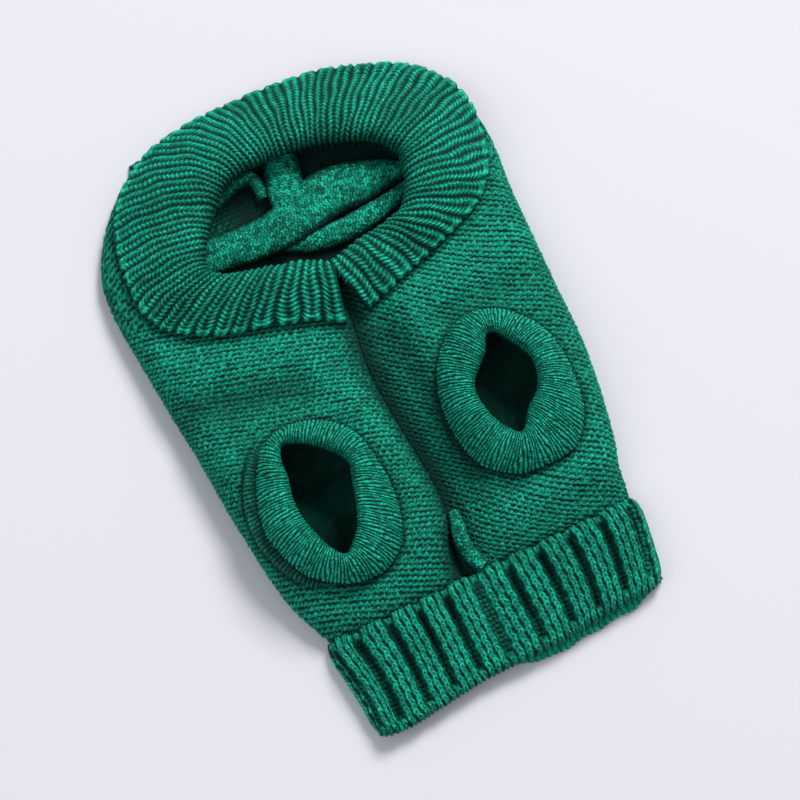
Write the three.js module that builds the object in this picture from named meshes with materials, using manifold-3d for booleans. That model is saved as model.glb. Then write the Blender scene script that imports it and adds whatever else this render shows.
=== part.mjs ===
// A knitted dog sweater, lying belly up on a flat surface with its panels on each other.
// Two belly panels meet at a sunken seam and carry the ribbed leg cuffs. A back panel lies under
// them. A ribbed collar is turned down round the neck hole, a ribbed band closes the waist, and
// crossed strands of a knitted cable lie on the back panel inside the neck.
// Units are millimetres. +X is to the right seen from above, +Y runs from the hem to the neck,
// +Z is up, and the underside rests on z = 0.
import * as THREE from 'three';
import { mergeVertices } from 'three/addons/utils/BufferGeometryUtils.js';
import Module from 'manifold-3d';

const wasm = await Module();
wasm.setup();

// Driving dimensions
const CLOTH = 3.0; // thickness of the body's cloth
const RIB_CLOTH = 3.2; // thickness of the collar's cloth, under its ribs
const CUFF_CLOTH = 2.4; // thickness of the leg cuffs' cloth, under their ribs
const SEAM = 0.3; // gap between neighbouring pieces
const HEM_TOP = -118.5; // where the body meets the waist band
const NECK_TOP = 160; // shoulder edge of the body, under the collar
const SIDE_RADIUS = 15; // rounding of the body's sides, across
const SIDE_BELLY = 0.3; // height of the widest point of the side, as a share of the full height
const TUCK = 2.5; // how far the side tucks in under its widest point
const LIP_RADIUS = { left: 17, right: 30 }; // width of the slope down to the belly seam
const DRAPE = 10; // length over which cloth slopes down past the body's edge
const PATCH = 5; // reach of the clearance round a point
const DEGREE = Math.PI / 180;

// The body in sections across it: edges, the two lips of the belly seam, the height in the seam
// and the heights of its left (L) and right (R) halves
const BODY = [
  { y: -118.5, left: -83, right: 88, lipL: -9, lipR: -3, seam: 9, topL: 12, topR: 12 },
  { y: -110, left: -87, right: 89, lipL: -10.5, lipR: -4.5, seam: 8, topL: 14.5, topR: 14 },
  { y: -98, left: -92, right: 91, lipL: -7.5, lipR: -4, seam: 8, topL: 18, topR: 17 },
  { y: -85, left: -96, right: 95, lipL: -1.8, lipR: -1.2, seam: 8.5, topL: 21, topR: 20 },
  { y: -60, left: -99.5, right: 100, lipL: -0.8, lipR: -0.2, seam: 9, topL: 23, topR: 22 },
  { y: -30, left: -102.5, right: 104, lipL: -3.3, lipR: -2.7, seam: 10, topL: 24, topR: 23 },
  { y: 0, left: -104.5, right: 105, lipL: -4.8, lipR: -4.2, seam: 12, topL: 23, topR: 22.5 },
  { y: 30, left: -107.5, right: 106.5, lipL: -1.3, lipR: -0.7, seam: 14.5, topL: 20.5, topR: 20.5 },
  { y: 60, left: -110, right: 108, lipL: 2.2, lipR: 2.8, seam: 17, topL: 18, topR: 18 },
  { y: 90, left: -112, right: 111, lipL: 2.7, lipR: 3.3, seam: 16, topL: 16, topR: 16 },
  { y: 110, left: -109.5, right: 109.5, lipL: 2.7, lipR: 3.3, seam: 14, topL: 14, topR: 14 },
  { y: 130, left: -99.5, right: 101, lipL: 2.7, lipR: 3.3, seam: 12.5, topL: 12.5, topR: 12.5 },
  { y: 146, left: -86, right: 83, lipL: 2.7, lipR: 3.3, seam: 9.6, topL: 9.6, topR: 9.6 },
  { y: 160, left: -70, right: 52, lipL: 2.7, lipR: 3.3, seam: 7.6, topL: 7.6, topR: 7.6 },
];

// Soft troughs (negative) and ridges of the belly cloth, each along a straight line
const FOLDS = [
  { x1: -98, y1: 22, x2: -44, y2: 8, height: -3.0, width: 9 },
  { x1: -92, y1: 46, x2: -30, y2: 26, height: 1.6, width: 10 },
  { x1: -26, y1: 8, x2: -14, y2: -34, height: 1.4, width: 7 },
  { x1: 14, y1: 18, x2: 20, y2: -70, height: -3.2, width: 8 },
  { x1: 30, y1: 26, x2: 92, y2: 30, height: 1.8, width: 12 },
  { x1: 44, y1: 10, x2: 98, y2: 12, height: -1.6, width: 8 },
  { x1: 28, y1: -96, x2: 86, y2: -94, height: 1.2, width: 8 },
  { x1: -88, y1: -104, x2: -30, y2: -108, height: 1.0, width: 7 },
];

// The turned-down collar from its right end, round the back of the neck, to its left end:
// the fold at the neck opening, the free edge outside it, and the height above the body
const COLLAR = [
  { inX: 4.6, inY: 62.0, outX: 11.0, outY: 31.5, rise: 13.0 },
  { inX: 21.7, inY: 65.6, outX: 34.0, outY: 38.0, rise: 15.0 },
  { inX: 36.8, inY: 66.8, outX: 65.5, outY: 48.7, rise: 16.0 },
  { inX: 49.4, inY: 72.3, outX: 91.0, outY: 62.0, rise: 17.0 },
  { inX: 57.1, inY: 85.7, outX: 105.0, outY: 86.0, rise: 18.0 },
  { inX: 60.0, inY: 101.0, outX: 108.0, outY: 120.0, rise: 18.0 },
  { inX: 49.0, inY: 115.0, outX: 90.0, outY: 149.5, rise: 17.0 },
  { inX: 25.1, inY: 124.8, outX: 44.0, outY: 166.0, rise: 17.0 },
  { inX: -2.0, inY: 128.5, outX: -6.0, outY: 171.0, rise: 17.0 },
  { inX: -25.5, inY: 127.0, outX: -48.0, outY: 166.5, rise: 17.0 },
  { inX: -39.0, inY: 116.0, outX: -78.0, outY: 150.5, rise: 17.0 },
  { inX: -49.0, inY: 104.0, outX: -92.5, outY: 128.0, rise: 17.0 },
  { inX: -57.0, inY: 90.0, outX: -98.5, outY: 96.0, rise: 17.0 },
  { inX: -55.0, inY: 80.5, outX: -93.5, outY: 70.0, rise: 16.0 },
  { inX: -37.0, inY: 74.5, outX: -70.0, outY: 52.5, rise: 15.0 },
  { inX: -17.7, inY: 69.1, outX: -40.0, outY: 43.5, rise: 15.0 },
  { inX: -6.5, inY: 65.0, outX: -20.0, outY: 37.0, rise: 16.0 },
  { inX: 2.0, inY: 59.5, outX: -5.6, outY: 29.5, rise: 14.0 },
];
const COLLAR_RIBS = 56;
const COLLAR_RIB = [0, 1.3, 1.1]; // relief at even steps across one rib
// The fold's section, from the inner foot over the crest to the free edge
const COLLAR_SECTION = [
  { across: 0.06, up: 0.0 },
  { across: 0.0, up: 0.42 },
  { across: 0.04, up: 0.78 },
  { across: 0.16, up: 0.98 },
  { across: 0.36, up: 0.98 },
  { across: 0.58, up: 0.8 },
  { across: 0.81, up: 0.52 },
  { across: 1.0, up: 0.24 },
];

// Leg cuffs, going round anticlockwise: the fold at the opening and the free edge outside it
const CUFF_LEFT = [
  { inX: -38.5, inY: -49.0, outX: -21.8, outY: -56.0, rise: 14.0 },
  { inX: -37.0, inY: -41.0, outX: -23.8, outY: -40.0, rise: 14.0 },
  { inX: -41.5, inY: -32.5, outX: -29.0, outY: -24.0, rise: 14.0 },
  { inX: -49.5, inY: -24.5, outX: -40.0, outY: -13.5, rise: 13.0 },
  { inX: -57.5, inY: -19.5, outX: -52.0, outY: -9.5, rise: 12.5 },
  { inX: -64.0, inY: -18.5, outX: -64.0, outY: -10.0, rise: 12.0 },
  { inX: -67.5, inY: -25.0, outX: -75.5, outY: -16.0, rise: 12.5 },
  { inX: -68.5, inY: -35.0, outX: -84.0, outY: -29.0, rise: 13.0 },
  { inX: -70.5, inY: -46.0, outX: -89.0, outY: -45.0, rise: 13.5 },
  { inX: -70.5, inY: -58.0, outX: -90.0, outY: -61.0, rise: 14.0 },
  { inX: -67.5, inY: -69.0, outX: -84.5, outY: -78.0, rise: 14.0 },
  { inX: -63.5, inY: -78.0, outX: -73.0, outY: -90.0, rise: 14.0 },
  { inX: -58.5, inY: -83.5, outX: -58.0, outY: -97.5, rise: 14.0 },
  { inX: -53.0, inY: -80.0, outX: -43.0, outY: -97.5, rise: 14.0 },
  { inX: -47.5, inY: -73.0, outX: -31.0, outY: -89.0, rise: 14.0 },
  { inX: -42.5, inY: -62.0, outX: -24.0, outY: -73.5, rise: 14.0 },
];
const CUFF_RIGHT = [
  { inX: 71.5, inY: -40.5, outX: 89.0, outY: -46.0, rise: 13.0 },
  { inX: 72.0, inY: -31.5, outX: 88.5, outY: -32.0, rise: 12.5 },
  { inX: 69.0, inY: -23.5, outX: 84.5, outY: -18.5, rise: 12.5 },
  { inX: 65.0, inY: -16.5, outX: 77.5, outY: -7.5, rise: 12.5 },
  { inX: 61.5, inY: -11.5, outX: 67.5, outY: 1.0, rise: 13.0 },
  { inX: 56.5, inY: -11.5, outX: 54.0, outY: 3.8, rise: 13.5 },
  { inX: 52.0, inY: -18.5, outX: 41.5, outY: 0.0, rise: 14.0 },
  { inX: 45.5, inY: -25.0, outX: 31.0, outY: -9.0, rise: 14.0 },
  { inX: 40.0, inY: -31.0, outX: 23.8, outY: -21.5, rise: 14.0 },
  { inX: 37.8, inY: -40.0, outX: 19.8, outY: -38.0, rise: 14.0 },
  { inX: 39.5, inY: -51.0, outX: 20.0, outY: -55.0, rise: 14.0 },
  { inX: 44.5, inY: -60.0, outX: 26.0, outY: -71.5, rise: 14.0 },
  { inX: 50.0, inY: -65.5, outX: 40.0, outY: -82.5, rise: 14.0 },
  { inX: 54.5, inY: -62.0, outX: 57.0, outY: -84.8, rise: 14.0 },
  { inX: 59.5, inY: -55.0, outX: 73.0, outY: -81.5, rise: 13.5 },
  { inX: 67.0, inY: -49.0, outX: 85.0, outY: -67.0, rise: 13.0 },
];
const CUFF_RIBS = 60;
const CUFF_RIB = [0, 0.8];
const CUFF_SECTION = [
  { across: 0.16, up: 0.0 },
  { across: 0.0, up: 0.5 },
  { across: 0.06, up: 0.84 },
  { across: 0.28, up: 1.0 },
  { across: 0.58, up: 0.9 },
  { across: 0.86, up: 0.56 },
  { across: 1.0, up: 0.2 },
];

// The waist band in sections along it, from the body down to the free edge
const HEM = [
  { along: 0.0, left: -85.5, right: 89.5, height: 7.6 },
  { along: 0.12, left: -87.0, right: 91.0, height: 9.4 },
  { along: 0.35, left: -85.5, right: 90.0, height: 10.0 },
  { along: 0.7, left: -83.5, right: 87.5, height: 9.8 },
  { along: 0.9, left: -83.0, right: 86.0, height: 9.4 },
  { along: 1.0, left: -81.5, right: 84.0, height: 8.2 },
];
// Free edge of the waist band, across it
const HEM_EDGE = [
  { x: -84, y: -168.0 },
  { x: -70, y: -171.5 },
  { x: -48, y: -169.5 },
  { x: -20, y: -166.5 },
  { x: 15, y: -166.3 },
  { x: 45, y: -164.0 },
  { x: 72, y: -162.0 },
  { x: 86, y: -159.0 },
];
const HEM_RIB_HEIGHT = 2.3; // how far the ribs stand above the band's cloth
// Grooves between the ribs, halfway along the band, each running lengthwise
const HEM_GROOVES = [
  { x: -81.0, width: 5.0, depth: 1.5 },
  { x: -70.0, width: 10.0, depth: 2.3 },
  { x: -52.5, width: 8.5, depth: 2.3 },
  { x: -36.5, width: 7.0, depth: 2.3 },
  { x: -21.0, width: 8.0, depth: 2.2 },
  { x: -4.0, width: 14.0, depth: 1.4 },
  { x: 15.0, width: 8.0, depth: 2.3 },
  { x: 32.5, width: 7.5, depth: 2.3 },
  { x: 49.0, width: 7.0, depth: 2.3 },
  { x: 66.0, width: 8.0, depth: 2.2 },
  { x: 81.5, width: 5.0, depth: 1.5 },
];
const HEM_BACK = 3.4; // thickness of the band's lower layer
const HEM_REACH = { left: 0.8, right: 2.8 }; // how far the lower layer shows past the upper one
const HEM_SIDE = 8; // rounding of the band's sides, across

// Strands of the knitted cable inside the neck, each along its middle line, lying on the back panel
const STRANDS = {
  cable_strand_top: [
    { x: 5.6, y: 134.0, width: 16.0, z: 0, thick: 4.2 },
    { x: 3.6, y: 127.0, width: 18.5, z: 0, thick: 4.8 },
    { x: 1.2, y: 119.0, width: 20.0, z: 0, thick: 5.2 },
    { x: -0.6, y: 112.5, width: 19.6, z: 0, thick: 3.6 },
    { x: -2.8, y: 104.0, width: 17.0, z: 0, thick: 3.2 },
    { x: -4.2, y: 97.5, width: 12.0, z: 0, thick: 2.6 },
  ],
  cable_strand_wide: [
    { x: -68.0, y: 97.4, width: 18.0, z: 0, thick: 4.4 },
    { x: -60.5, y: 97.1, width: 21.0, z: 0, thick: 5.0 },
    { x: -45.8, y: 96.0, width: 20.0, z: 0.2, thick: 5.4 },
    { x: -30.3, y: 94.0, width: 21.0, z: 1.4, thick: 5.8 },
    { x: -14.1, y: 93.6, width: 22.0, z: 4.0, thick: 5.8 },
    { x: 2.4, y: 97.3, width: 25.0, z: 4.2, thick: 5.8 },
    { x: 20.2, y: 101.4, width: 26.5, z: 2.2, thick: 6.2 },
    { x: 37.0, y: 100.4, width: 23.6, z: 0.6, thick: 6.2 },
    { x: 51.2, y: 98.6, width: 15.5, z: 0.2, thick: 5.4 },
    { x: 61.0, y: 96.9, width: 9.0, z: 0, thick: 4.4 },
    { x: 68.0, y: 96.1, width: 5.0, z: 0, thick: 3.6 },
  ],
  cable_strand_low: [
    { x: -14.0, y: 87.0, width: 9.0, z: 0, thick: 2.6 },
    { x: -4.0, y: 83.2, width: 12.0, z: 0, thick: 3.0 },
    { x: 7.0, y: 80.2, width: 12.4, z: 0, thick: 4.6 },
    { x: 20.0, y: 79.4, width: 12.8, z: 0, thick: 5.4 },
    { x: 34.0, y: 80.8, width: 12.0, z: 0, thick: 5.4 },
    { x: 48.5, y: 83.4, width: 9.6, z: 0, thick: 5.0 },
    { x: 58.0, y: 86.2, width: 7.0, z: 0, thick: 4.2 },
    { x: 66.0, y: 88.2, width: 4.5, z: 0, thick: 3.4 },
  ],
  cable_strand_loop: [
    { x: -51.0, y: 111.0, width: 5.0, z: 0, thick: 3.6 },
    { x: -42.0, y: 119.5, width: 6.0, z: 0, thick: 4.4 },
    { x: -32.5, y: 124.6, width: 6.6, z: 0, thick: 4.8 },
    { x: -22.6, y: 128.0, width: 7.0, z: 0, thick: 4.8 },
    { x: -14.8, y: 127.6, width: 7.0, z: 0, thick: 4.8 },
    { x: -12.6, y: 121.5, width: 6.0, z: 0, thick: 4.4 },
    { x: -13.4, y: 114.0, width: 5.0, z: 0, thick: 3.6 },
  ],
};

// The rolled end of the belly seam, on the right lip just above the waist band
const SEAM_ROLL = [
  { x: 1.5, y: -84.0, width: 5.0, z: 0, thick: 4.0 },
  { x: 0.8, y: -91.0, width: 7.5, z: 0, thick: 6.5 },
  { x: -0.8, y: -101.0, width: 8.0, z: 0, thick: 7.0 },
  { x: 0.6, y: -110.0, width: 8.0, z: 0, thick: 6.0 },
  { x: 3.8, y: -116.6, width: 8.0, z: 0, thick: 4.6 },
];

// Curves

// Smooth curve through a table's rows: each named column at the place `at` on the table's key column
function readTable(rows, key, at, closed = false) {
  const count = rows.length;
  const knot = (i) => (key === null ? i : rows[i][key]);
  let i = 0;
  if (closed) {
    at = ((at % count) + count) % count;
    i = Math.floor(at);
  } else {
    at = Math.min(Math.max(at, knot(0)), knot(count - 1));
    while (i < count - 2 && at > knot(i + 1)) i += 1;
  }
  const row = (k) => rows[closed ? (k + count) % count : Math.min(Math.max(k, 0), count - 1)];
  const place = (k) => (closed || key === null ? k : knot(Math.min(Math.max(k, 0), count - 1)));
  const step = place(i + 1) - place(i);
  const t = (at - place(i)) / step;
  const out = {};
  for (const name of Object.keys(rows[0])) {
    const [a, b, c, d] = [row(i - 1)[name], row(i)[name], row(i + 1)[name], row(i + 2)[name]];
    const before = place(i + 1) - place(i - 1);
    const after = place(i + 2) - place(i);
    const slopeIn = (before > step ? (c - a) / before : (c - b) / step) * step;
    const slopeOut = (after > step ? (d - b) / after : (c - b) / step) * step;
    const t2 = t * t;
    const t3 = t2 * t;
    out[name] = (2 * t3 - 3 * t2 + 1) * b + (t3 - 2 * t2 + t) * slopeIn
      + (3 * t2 - 2 * t3) * c + (t3 - t2) * slopeOut;
  }
  return out;
}

const mix = (a, b, t) => a + (b - a) * t;
const clamp = (value, low, high) => Math.min(Math.max(value, low), high);
const quarterRound = (share) => Math.sqrt(1 - (1 - clamp(share, 0, 1)) ** 2);
const easeRise = (share) => 0.5 - 0.5 * Math.cos(Math.PI * clamp(share, 0, 1));

// The belly's outer surface

function foldHeight(x, y) {
  let sum = 0;
  for (const fold of FOLDS) {
    const dx = fold.x2 - fold.x1;
    const dy = fold.y2 - fold.y1;
    const t = clamp(((x - fold.x1) * dx + (y - fold.y1) * dy) / (dx * dx + dy * dy), 0, 1);
    const away = Math.hypot(x - fold.x1 - t * dx, y - fold.y1 - t * dy) / fold.width;
    sum += fold.height * Math.exp(-away * away);
  }
  return sum;
}

// Height of the body's upper surface over a point, on the side of the seam where the point lies
function bodyTop(x, y, side) {
  const row = readTable(BODY, 'y', y);
  const isLeft = side === 'left';
  const fromEdge = isLeft ? x - row.left : row.right - x;
  const fromLip = isLeft ? row.lipL - x : x - row.lipR;
  const mound = isLeft ? row.topL : row.topR;
  const widest = SIDE_BELLY * mound;
  const edgeRise = quarterRound(fromEdge / SIDE_RADIUS);
  const lipShare = fromLip / LIP_RADIUS[side];
  const lipRise = isLeft ? quarterRound(lipShare) : easeRise(lipShare);
  const calm = clamp((70 - y) / 20, 0, 1); // the folds end under the collar
  return widest + (mound - widest) * edgeRise - (mound - row.seam) * (1 - lipRise)
    + foldHeight(x, y) * edgeRise * lipRise * calm;
}

// Height that carries cloth over a point: the body's, easing down to the ground past its edges
function carriedHeight(x, y) {
  const row = readTable(BODY, 'y', y);
  const past = Math.max(row.left - x, x - row.right, y - NECK_TOP, 0);
  const side = x < (row.lipL + row.lipR) / 2 ? 'left' : 'right';
  const top = bodyTop(clamp(x, row.left, row.right), Math.min(y, NECK_TOP), side);
  return top * clamp(1 - past / DRAPE, 0, 1);
}

// The same over a small patch round a point, so that what lies on it clears it all round
function supportTop(x, y) {
  const patch = [[0, 0], [PATCH, 0], [-PATCH, 0], [0, PATCH], [0, -PATCH]];
  return Math.max(...patch.map(([dx, dy]) => carriedHeight(x + dx, y + dy)));
}

// Meshes

class Shell {
  constructor() {
    this.points = [];
    this.faces = [];
  }

  addGrid(pointAt, across, along) {
    const grid = [];
    for (let i = 0; i < across; i += 1) {
      grid.push([]);
      for (let j = 0; j < along; j += 1) {
        grid[i].push(this.points.length);
        this.points.push(pointAt(i, j));
      }
    }
    return grid;
  }

  skin(grid, { closed = false, flip = false } = {}) {
    const rows = closed ? grid.length : grid.length - 1;
    for (let i = 0; i < rows; i += 1) {
      const next = (i + 1) % grid.length;
      for (let j = 0; j < grid[0].length - 1; j += 1) {
        this.quad(grid[i][j], grid[next][j], grid[next][j + 1], grid[i][j + 1], flip);
      }
    }
  }

  quad(a, b, c, d, flip = false) {
    this.face(a, b, c, flip);
    this.face(a, c, d, flip);
  }

  face(a, b, c, flip = false) {
    this.faces.push(flip ? [a, c, b] : [a, b, c]);
  }

  // A strip between two lines of points that run side by side
  zip(line, other, flip = false) {
    let i = 0;
    let j = 0;
    while (i < line.length - 1 || j < other.length - 1) {
      const nextI = (i + 1) / (line.length - 1);
      const nextJ = (j + 1) / (other.length - 1);
      if (j >= other.length - 1 || (i < line.length - 1 && nextI <= nextJ + 1e-9)) {
        this.face(line[i], other[j], line[i + 1], flip);
        i += 1;
      } else {
        this.face(line[i], other[j], other[j + 1], flip);
        j += 1;
      }
    }
  }

  geometry() {
    const position = new Float32Array(this.points.flat());
    const geometry = new THREE.BufferGeometry();
    geometry.setAttribute('position', new THREE.BufferAttribute(position, 3));
    const faces = this.volume() > 0 ? this.faces : this.faces.map(([a, b, c]) => [a, c, b]);
    geometry.setIndex(faces.flat());
    return geometry;
  }

  volume() {
    let sum = 0;
    for (const [a, b, c] of this.faces) {
      const [p, q, r] = [this.points[a], this.points[b], this.points[c]];
      sum += p[0] * (q[1] * r[2] - q[2] * r[1]) - p[1] * (q[0] * r[2] - q[2] * r[0])
        + p[2] * (q[0] * r[1] - q[1] * r[0]);
    }
    return sum / 6;
  }
}

// Unit normal of a surface given by two numbers, by small differences
function normalAt(surface, u, v, du, dv) {
  const minus = (p, q) => new THREE.Vector3(p[0] - q[0], p[1] - q[1], p[2] - q[2]);
  const alongU = minus(surface(u + du, v), surface(u - du, v));
  const alongV = minus(surface(u, v + dv), surface(u, v - dv));
  return alongU.cross(alongV).normalize();
}

function openLine(grid, which) {
  if (which === 'start') return grid.map((column) => column[0]);
  if (which === 'end') return grid.map((column) => column[column.length - 1]);
  return grid[which === 'first' ? 0 : grid.length - 1];
}

// Closes an open wall between its outer and inner grids
function closeOpenWall(shell, outer, inner) {
  shell.skin(outer);
  shell.skin(inner, { flip: true });
  shell.zip(openLine(outer, 'start'), openLine(inner, 'start'));
  shell.zip(openLine(outer, 'end'), openLine(inner, 'end'), true);
  shell.zip(openLine(outer, 'first'), openLine(inner, 'first'), true);
  shell.zip(openLine(outer, 'last'), openLine(inner, 'last'));
}

// Belly panels

const TUCK_ANGLE = -35 * DEGREE;
const SIDE_SHARE = 0.3; // share of the panel's points on the rounded side

// A point of a belly panel: u runs from the side's foot to the seam, v from hem to shoulder
function bellyPoint(side, u, v) {
  const y = mix(HEM_TOP, NECK_TOP, v);
  const row = readTable(BODY, 'y', y);
  const isLeft = side === 'left';
  const edge = isLeft ? row.left : row.right;
  const lip = isLeft ? row.lipL : row.lipR;
  const inward = isLeft ? 1 : -1;
  const mound = isLeft ? row.topL : row.topR;
  if (u < SIDE_SHARE) {
    const angle = mix(TUCK_ANGLE, 90 * DEGREE, u / SIDE_SHARE);
    if (angle < 0) {
      const low = Math.sin(angle) / Math.sin(TUCK_ANGLE);
      const x = edge + inward * TUCK * low * low;
      return [x, y, SIDE_BELLY * mound * (1 - low)];
    }
    const x = edge + inward * SIDE_RADIUS * (1 - Math.cos(angle));
    return [x, y, bodyTop(x, y, side)];
  }
  const t = (u - SIDE_SHARE) / (1 - SIDE_SHARE);
  const x = mix(edge + inward * SIDE_RADIUS, lip, t * (1.45 - 0.45 * t));
  return [x, y, bodyTop(x, y, side)];
}

function bellyPanel(side) {
  const across = 17;
  const along = 23;
  const isLeft = side === 'left';
  const shell = new Shell();
  const surface = (u, v) => bellyPoint(side, u, v);
  const share = (i, count) => i / (count - 1);
  const outer = shell.addGrid((i, j) => surface(share(i, across), share(j, along)), across, along);
  const inner = shell.addGrid((i, j) => {
    const u = share(i, across);
    const v = share(j, along);
    const n = normalAt(surface, clamp(u, 0.01, 0.99), clamp(v, 0.01, 0.99), 0.008, 0.008);
    if (n.z < 0 && u > 0.15) n.negate();
    if (u <= 0.15 && (isLeft ? n.x > 0 : n.x < 0)) n.negate();
    const [x, y, z] = surface(u, v);
    if (i === 0) return [x + (isLeft ? CLOTH : -CLOTH), y, 0];
    const low = 0.5 * CLOTH * (1 - Math.min(1, u / 0.1));
    return [x - n.x * CLOTH, y, Math.max(z - n.z * CLOTH, low)];
  }, across, along);
  closeOpenWall(shell, outer, inner);
  return shell.geometry();
}

// Booleans

function solidOf(geometry) {
  const bare = geometry.clone();
  bare.deleteAttribute('normal');
  bare.deleteAttribute('uv');
  const merged = mergeVertices(bare, 1e-5);
  const mesh = new wasm.Mesh({
    numProp: 3,
    vertProperties: new Float32Array(merged.attributes.position.array),
    triVerts: new Uint32Array(merged.index.array),
  });
  return new wasm.Manifold(mesh);
}

function geometryOf(solid) {
  const mesh = solid.getMesh();
  const geometry = new THREE.BufferGeometry();
  geometry.setAttribute('position', new THREE.BufferAttribute(new Float32Array(mesh.vertProperties), 3));
  geometry.setIndex(Array.from(mesh.triVerts));
  return geometry;
}

// An upright prism over the fold line of a collar or cuff, for cutting the hole under it
function holeOver(rows, closed) {
  const steps = 36;
  const points = [];
  for (let i = 0; i < steps; i += 1) {
    const at = closed ? (i / steps) * rows.length : (i / (steps - 1)) * (rows.length - 1);
    const row = readTable(rows, null, at, closed);
    points.push(new THREE.Vector2(row.inX, row.inY));
  }
  const prism = new THREE.ExtrudeGeometry(new THREE.Shape(points), { depth: 90, bevelEnabled: false });
  return prism.translate(0, 0, -20);
}

// Turned-down bands: the collar and the leg cuffs

function bandSurface(rows, section, closed, cloth) {
  return (u, k) => {
    const span = closed ? rows.length : rows.length - 1;
    const row = readTable(rows, null, u * span, closed);
    const cut = readTable(section, null, k);
    const x = mix(row.inX, row.outX, cut.across);
    const y = mix(row.inY, row.outY, cut.across);
    const base = mix(supportTop(row.inX, row.inY), supportTop(row.outX, row.outY), cut.across);
    const isFoot = k < 0.5;
    const least = supportTop(x, y) + (isFoot ? 0 : cloth) + 2 * SEAM;
    return [x, y, Math.max(base + 2 * SEAM + cut.up * row.rise, least)];
  };
}

function turnedBand({ rows, section, closed, cloth, ribs, relief }) {
  const shell = new Shell();
  const surface = bandSurface(rows, section, closed, cloth);
  const fine = ribs * relief.length;
  const coarse = Math.round(fine / 4);
  const outwardAt = (u, k) => {
    const last = section.length - 1;
    const held = closed ? u : clamp(u, 0.003, 0.997);
    return normalAt(surface, held, clamp(k, 0.3, last - 0.05), 0.002, 0.05).multiplyScalar(turn);
  };
  // the crest's normal points up, which settles the sign for the whole band
  let turn = 1;
  turn = outwardAt(0.37, 3).z > 0 ? 1 : -1;
  const share = (i, count) => (closed ? i / count : i / (count - 1));
  const fineCount = closed ? fine : fine + 1;
  const coarseCount = closed ? coarse : coarse + 1;
  const outer = shell.addGrid((i, k) => {
    const u = share(i, fineCount);
    const n = outwardAt(u, k);
    const raise = relief[i % relief.length];
    const p = surface(u, k);
    return [p[0] + n.x * raise, p[1] + n.y * raise, p[2] + Math.max(n.z, 0) * raise];
  }, fineCount, section.length);
  const inner = shell.addGrid((i, k) => {
    const u = share(i, coarseCount);
    const n = outwardAt(u, k);
    const p = surface(u, k);
    const [x, y] = [p[0] - n.x * cloth, p[1] - n.y * cloth];
    return [x, y, Math.max(p[2] - n.z * cloth, supportTop(x, y) + 2 * SEAM)];
  }, coarseCount, section.length);
  if (!closed) {
    closeOpenWall(shell, outer, inner);
    return shell.geometry();
  }
  shell.skin(outer, { closed });
  shell.skin(inner, { closed, flip: true });
  for (const end of ['start', 'end']) {
    const [fineLine, coarseLine] = [openLine(outer, end), openLine(inner, end)];
    shell.zip([...fineLine, fineLine[0]], [...coarseLine, coarseLine[0]], end === 'end');
  }
  return shell.geometry();
}

// Waist band

const hemMiddle = readTable(HEM, 'along', 0.5);

// Relief of the ribs at a place halfway along the band
function hemRelief(x) {
  let depth = 0;
  for (const groove of HEM_GROOVES) {
    const away = Math.min(1, Math.abs(x - groove.x) / (groove.width / 2));
    depth += groove.depth * (0.5 + 0.5 * Math.cos(Math.PI * away));
  }
  return HEM_RIB_HEIGHT - depth;
}

function hemPoint(u, v, lift) {
  const row = readTable(HEM, 'along', v);
  const x = mix(row.left, row.right, u);
  const y = mix(HEM_TOP - SEAM, readTable(HEM_EDGE, 'x', x).y, v);
  const fromSide = Math.min(x - row.left, row.right - x);
  const widest = 0.3 * row.height;
  return [x, y, widest + (row.height - widest) * quarterRound(fromSide / HEM_SIDE) + lift];
}

// Shares across the band: close steps on its rounded sides and in each groove
function hemShares() {
  const share = (x) => (x - hemMiddle.left) / (hemMiddle.right - hemMiddle.left);
  const shares = [0, 0.004, 0.012, 0.988, 0.996, 1];
  HEM_GROOVES.forEach((groove, i) => {
    for (const step of [-0.5, -0.25, 0, 0.25, 0.5]) shares.push(share(groove.x + step * groove.width));
    if (i > 0) shares.push(share((groove.x + HEM_GROOVES[i - 1].x) / 2));
  });
  return shares.sort((a, b) => a - b);
}

function hemFront() {
  const shell = new Shell();
  const shares = hemShares();
  const along = [0, 0.06, 0.16, 0.4, 0.7, 0.9, 1];
  const span = HEM[2].right - HEM[2].left;
  const sideShare = (HEM_SIDE * 0.5) / span;
  const outer = shell.addGrid((i, j) => {
    if (i === 0 || i === shares.length + 1) {
      const [x, y] = hemPoint(i === 0 ? 0 : 1, along[j], 0);
      return [x + (i === 0 ? 1 : -1) * 1.2, y, 0];
    }
    const u = shares[i - 1];
    const relief = hemRelief(mix(hemMiddle.left, hemMiddle.right, u));
    const depth = (HEM_RIB_HEIGHT - relief) * clamp(along[j] / 0.16, 0.25, 1);
    const edge = clamp(Math.min(u, 1 - u) / sideShare, 0, 1);
    return hemPoint(u, along[j], (HEM_RIB_HEIGHT - depth) * edge);
  }, shares.length + 2, along.length);
  const coarse = 18;
  const inner = shell.addGrid((i, j) => {
    const last = coarse - 1;
    const side = i <= 1 ? 0 : 1;
    if (i <= 1 || i >= last - 1) {
      const [x, y] = hemPoint(side, along[j], 0);
      const inset = side === 0 ? 4.2 : -4.2;
      return [x + inset, y, i === 0 || i === last ? 0 : HEM_BACK + 0.8];
    }
    const [x, y] = hemPoint(mix(0.05, 0.95, (i - 1) / (last - 2)), along[j], 0);
    return [x, y, HEM_BACK + 0.8];
  }, coarse, along.length);
  closeOpenWall(shell, outer, inner);
  return shell.geometry();
}

// Flat lower layers: the back panel and the waist band's lower layer

function plate(outline, thickness) {
  const shape = new THREE.Shape(outline.map(([x, y]) => new THREE.Vector2(x, y)));
  return new THREE.ExtrudeGeometry(shape, { depth: thickness, bevelEnabled: false });
}

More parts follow.
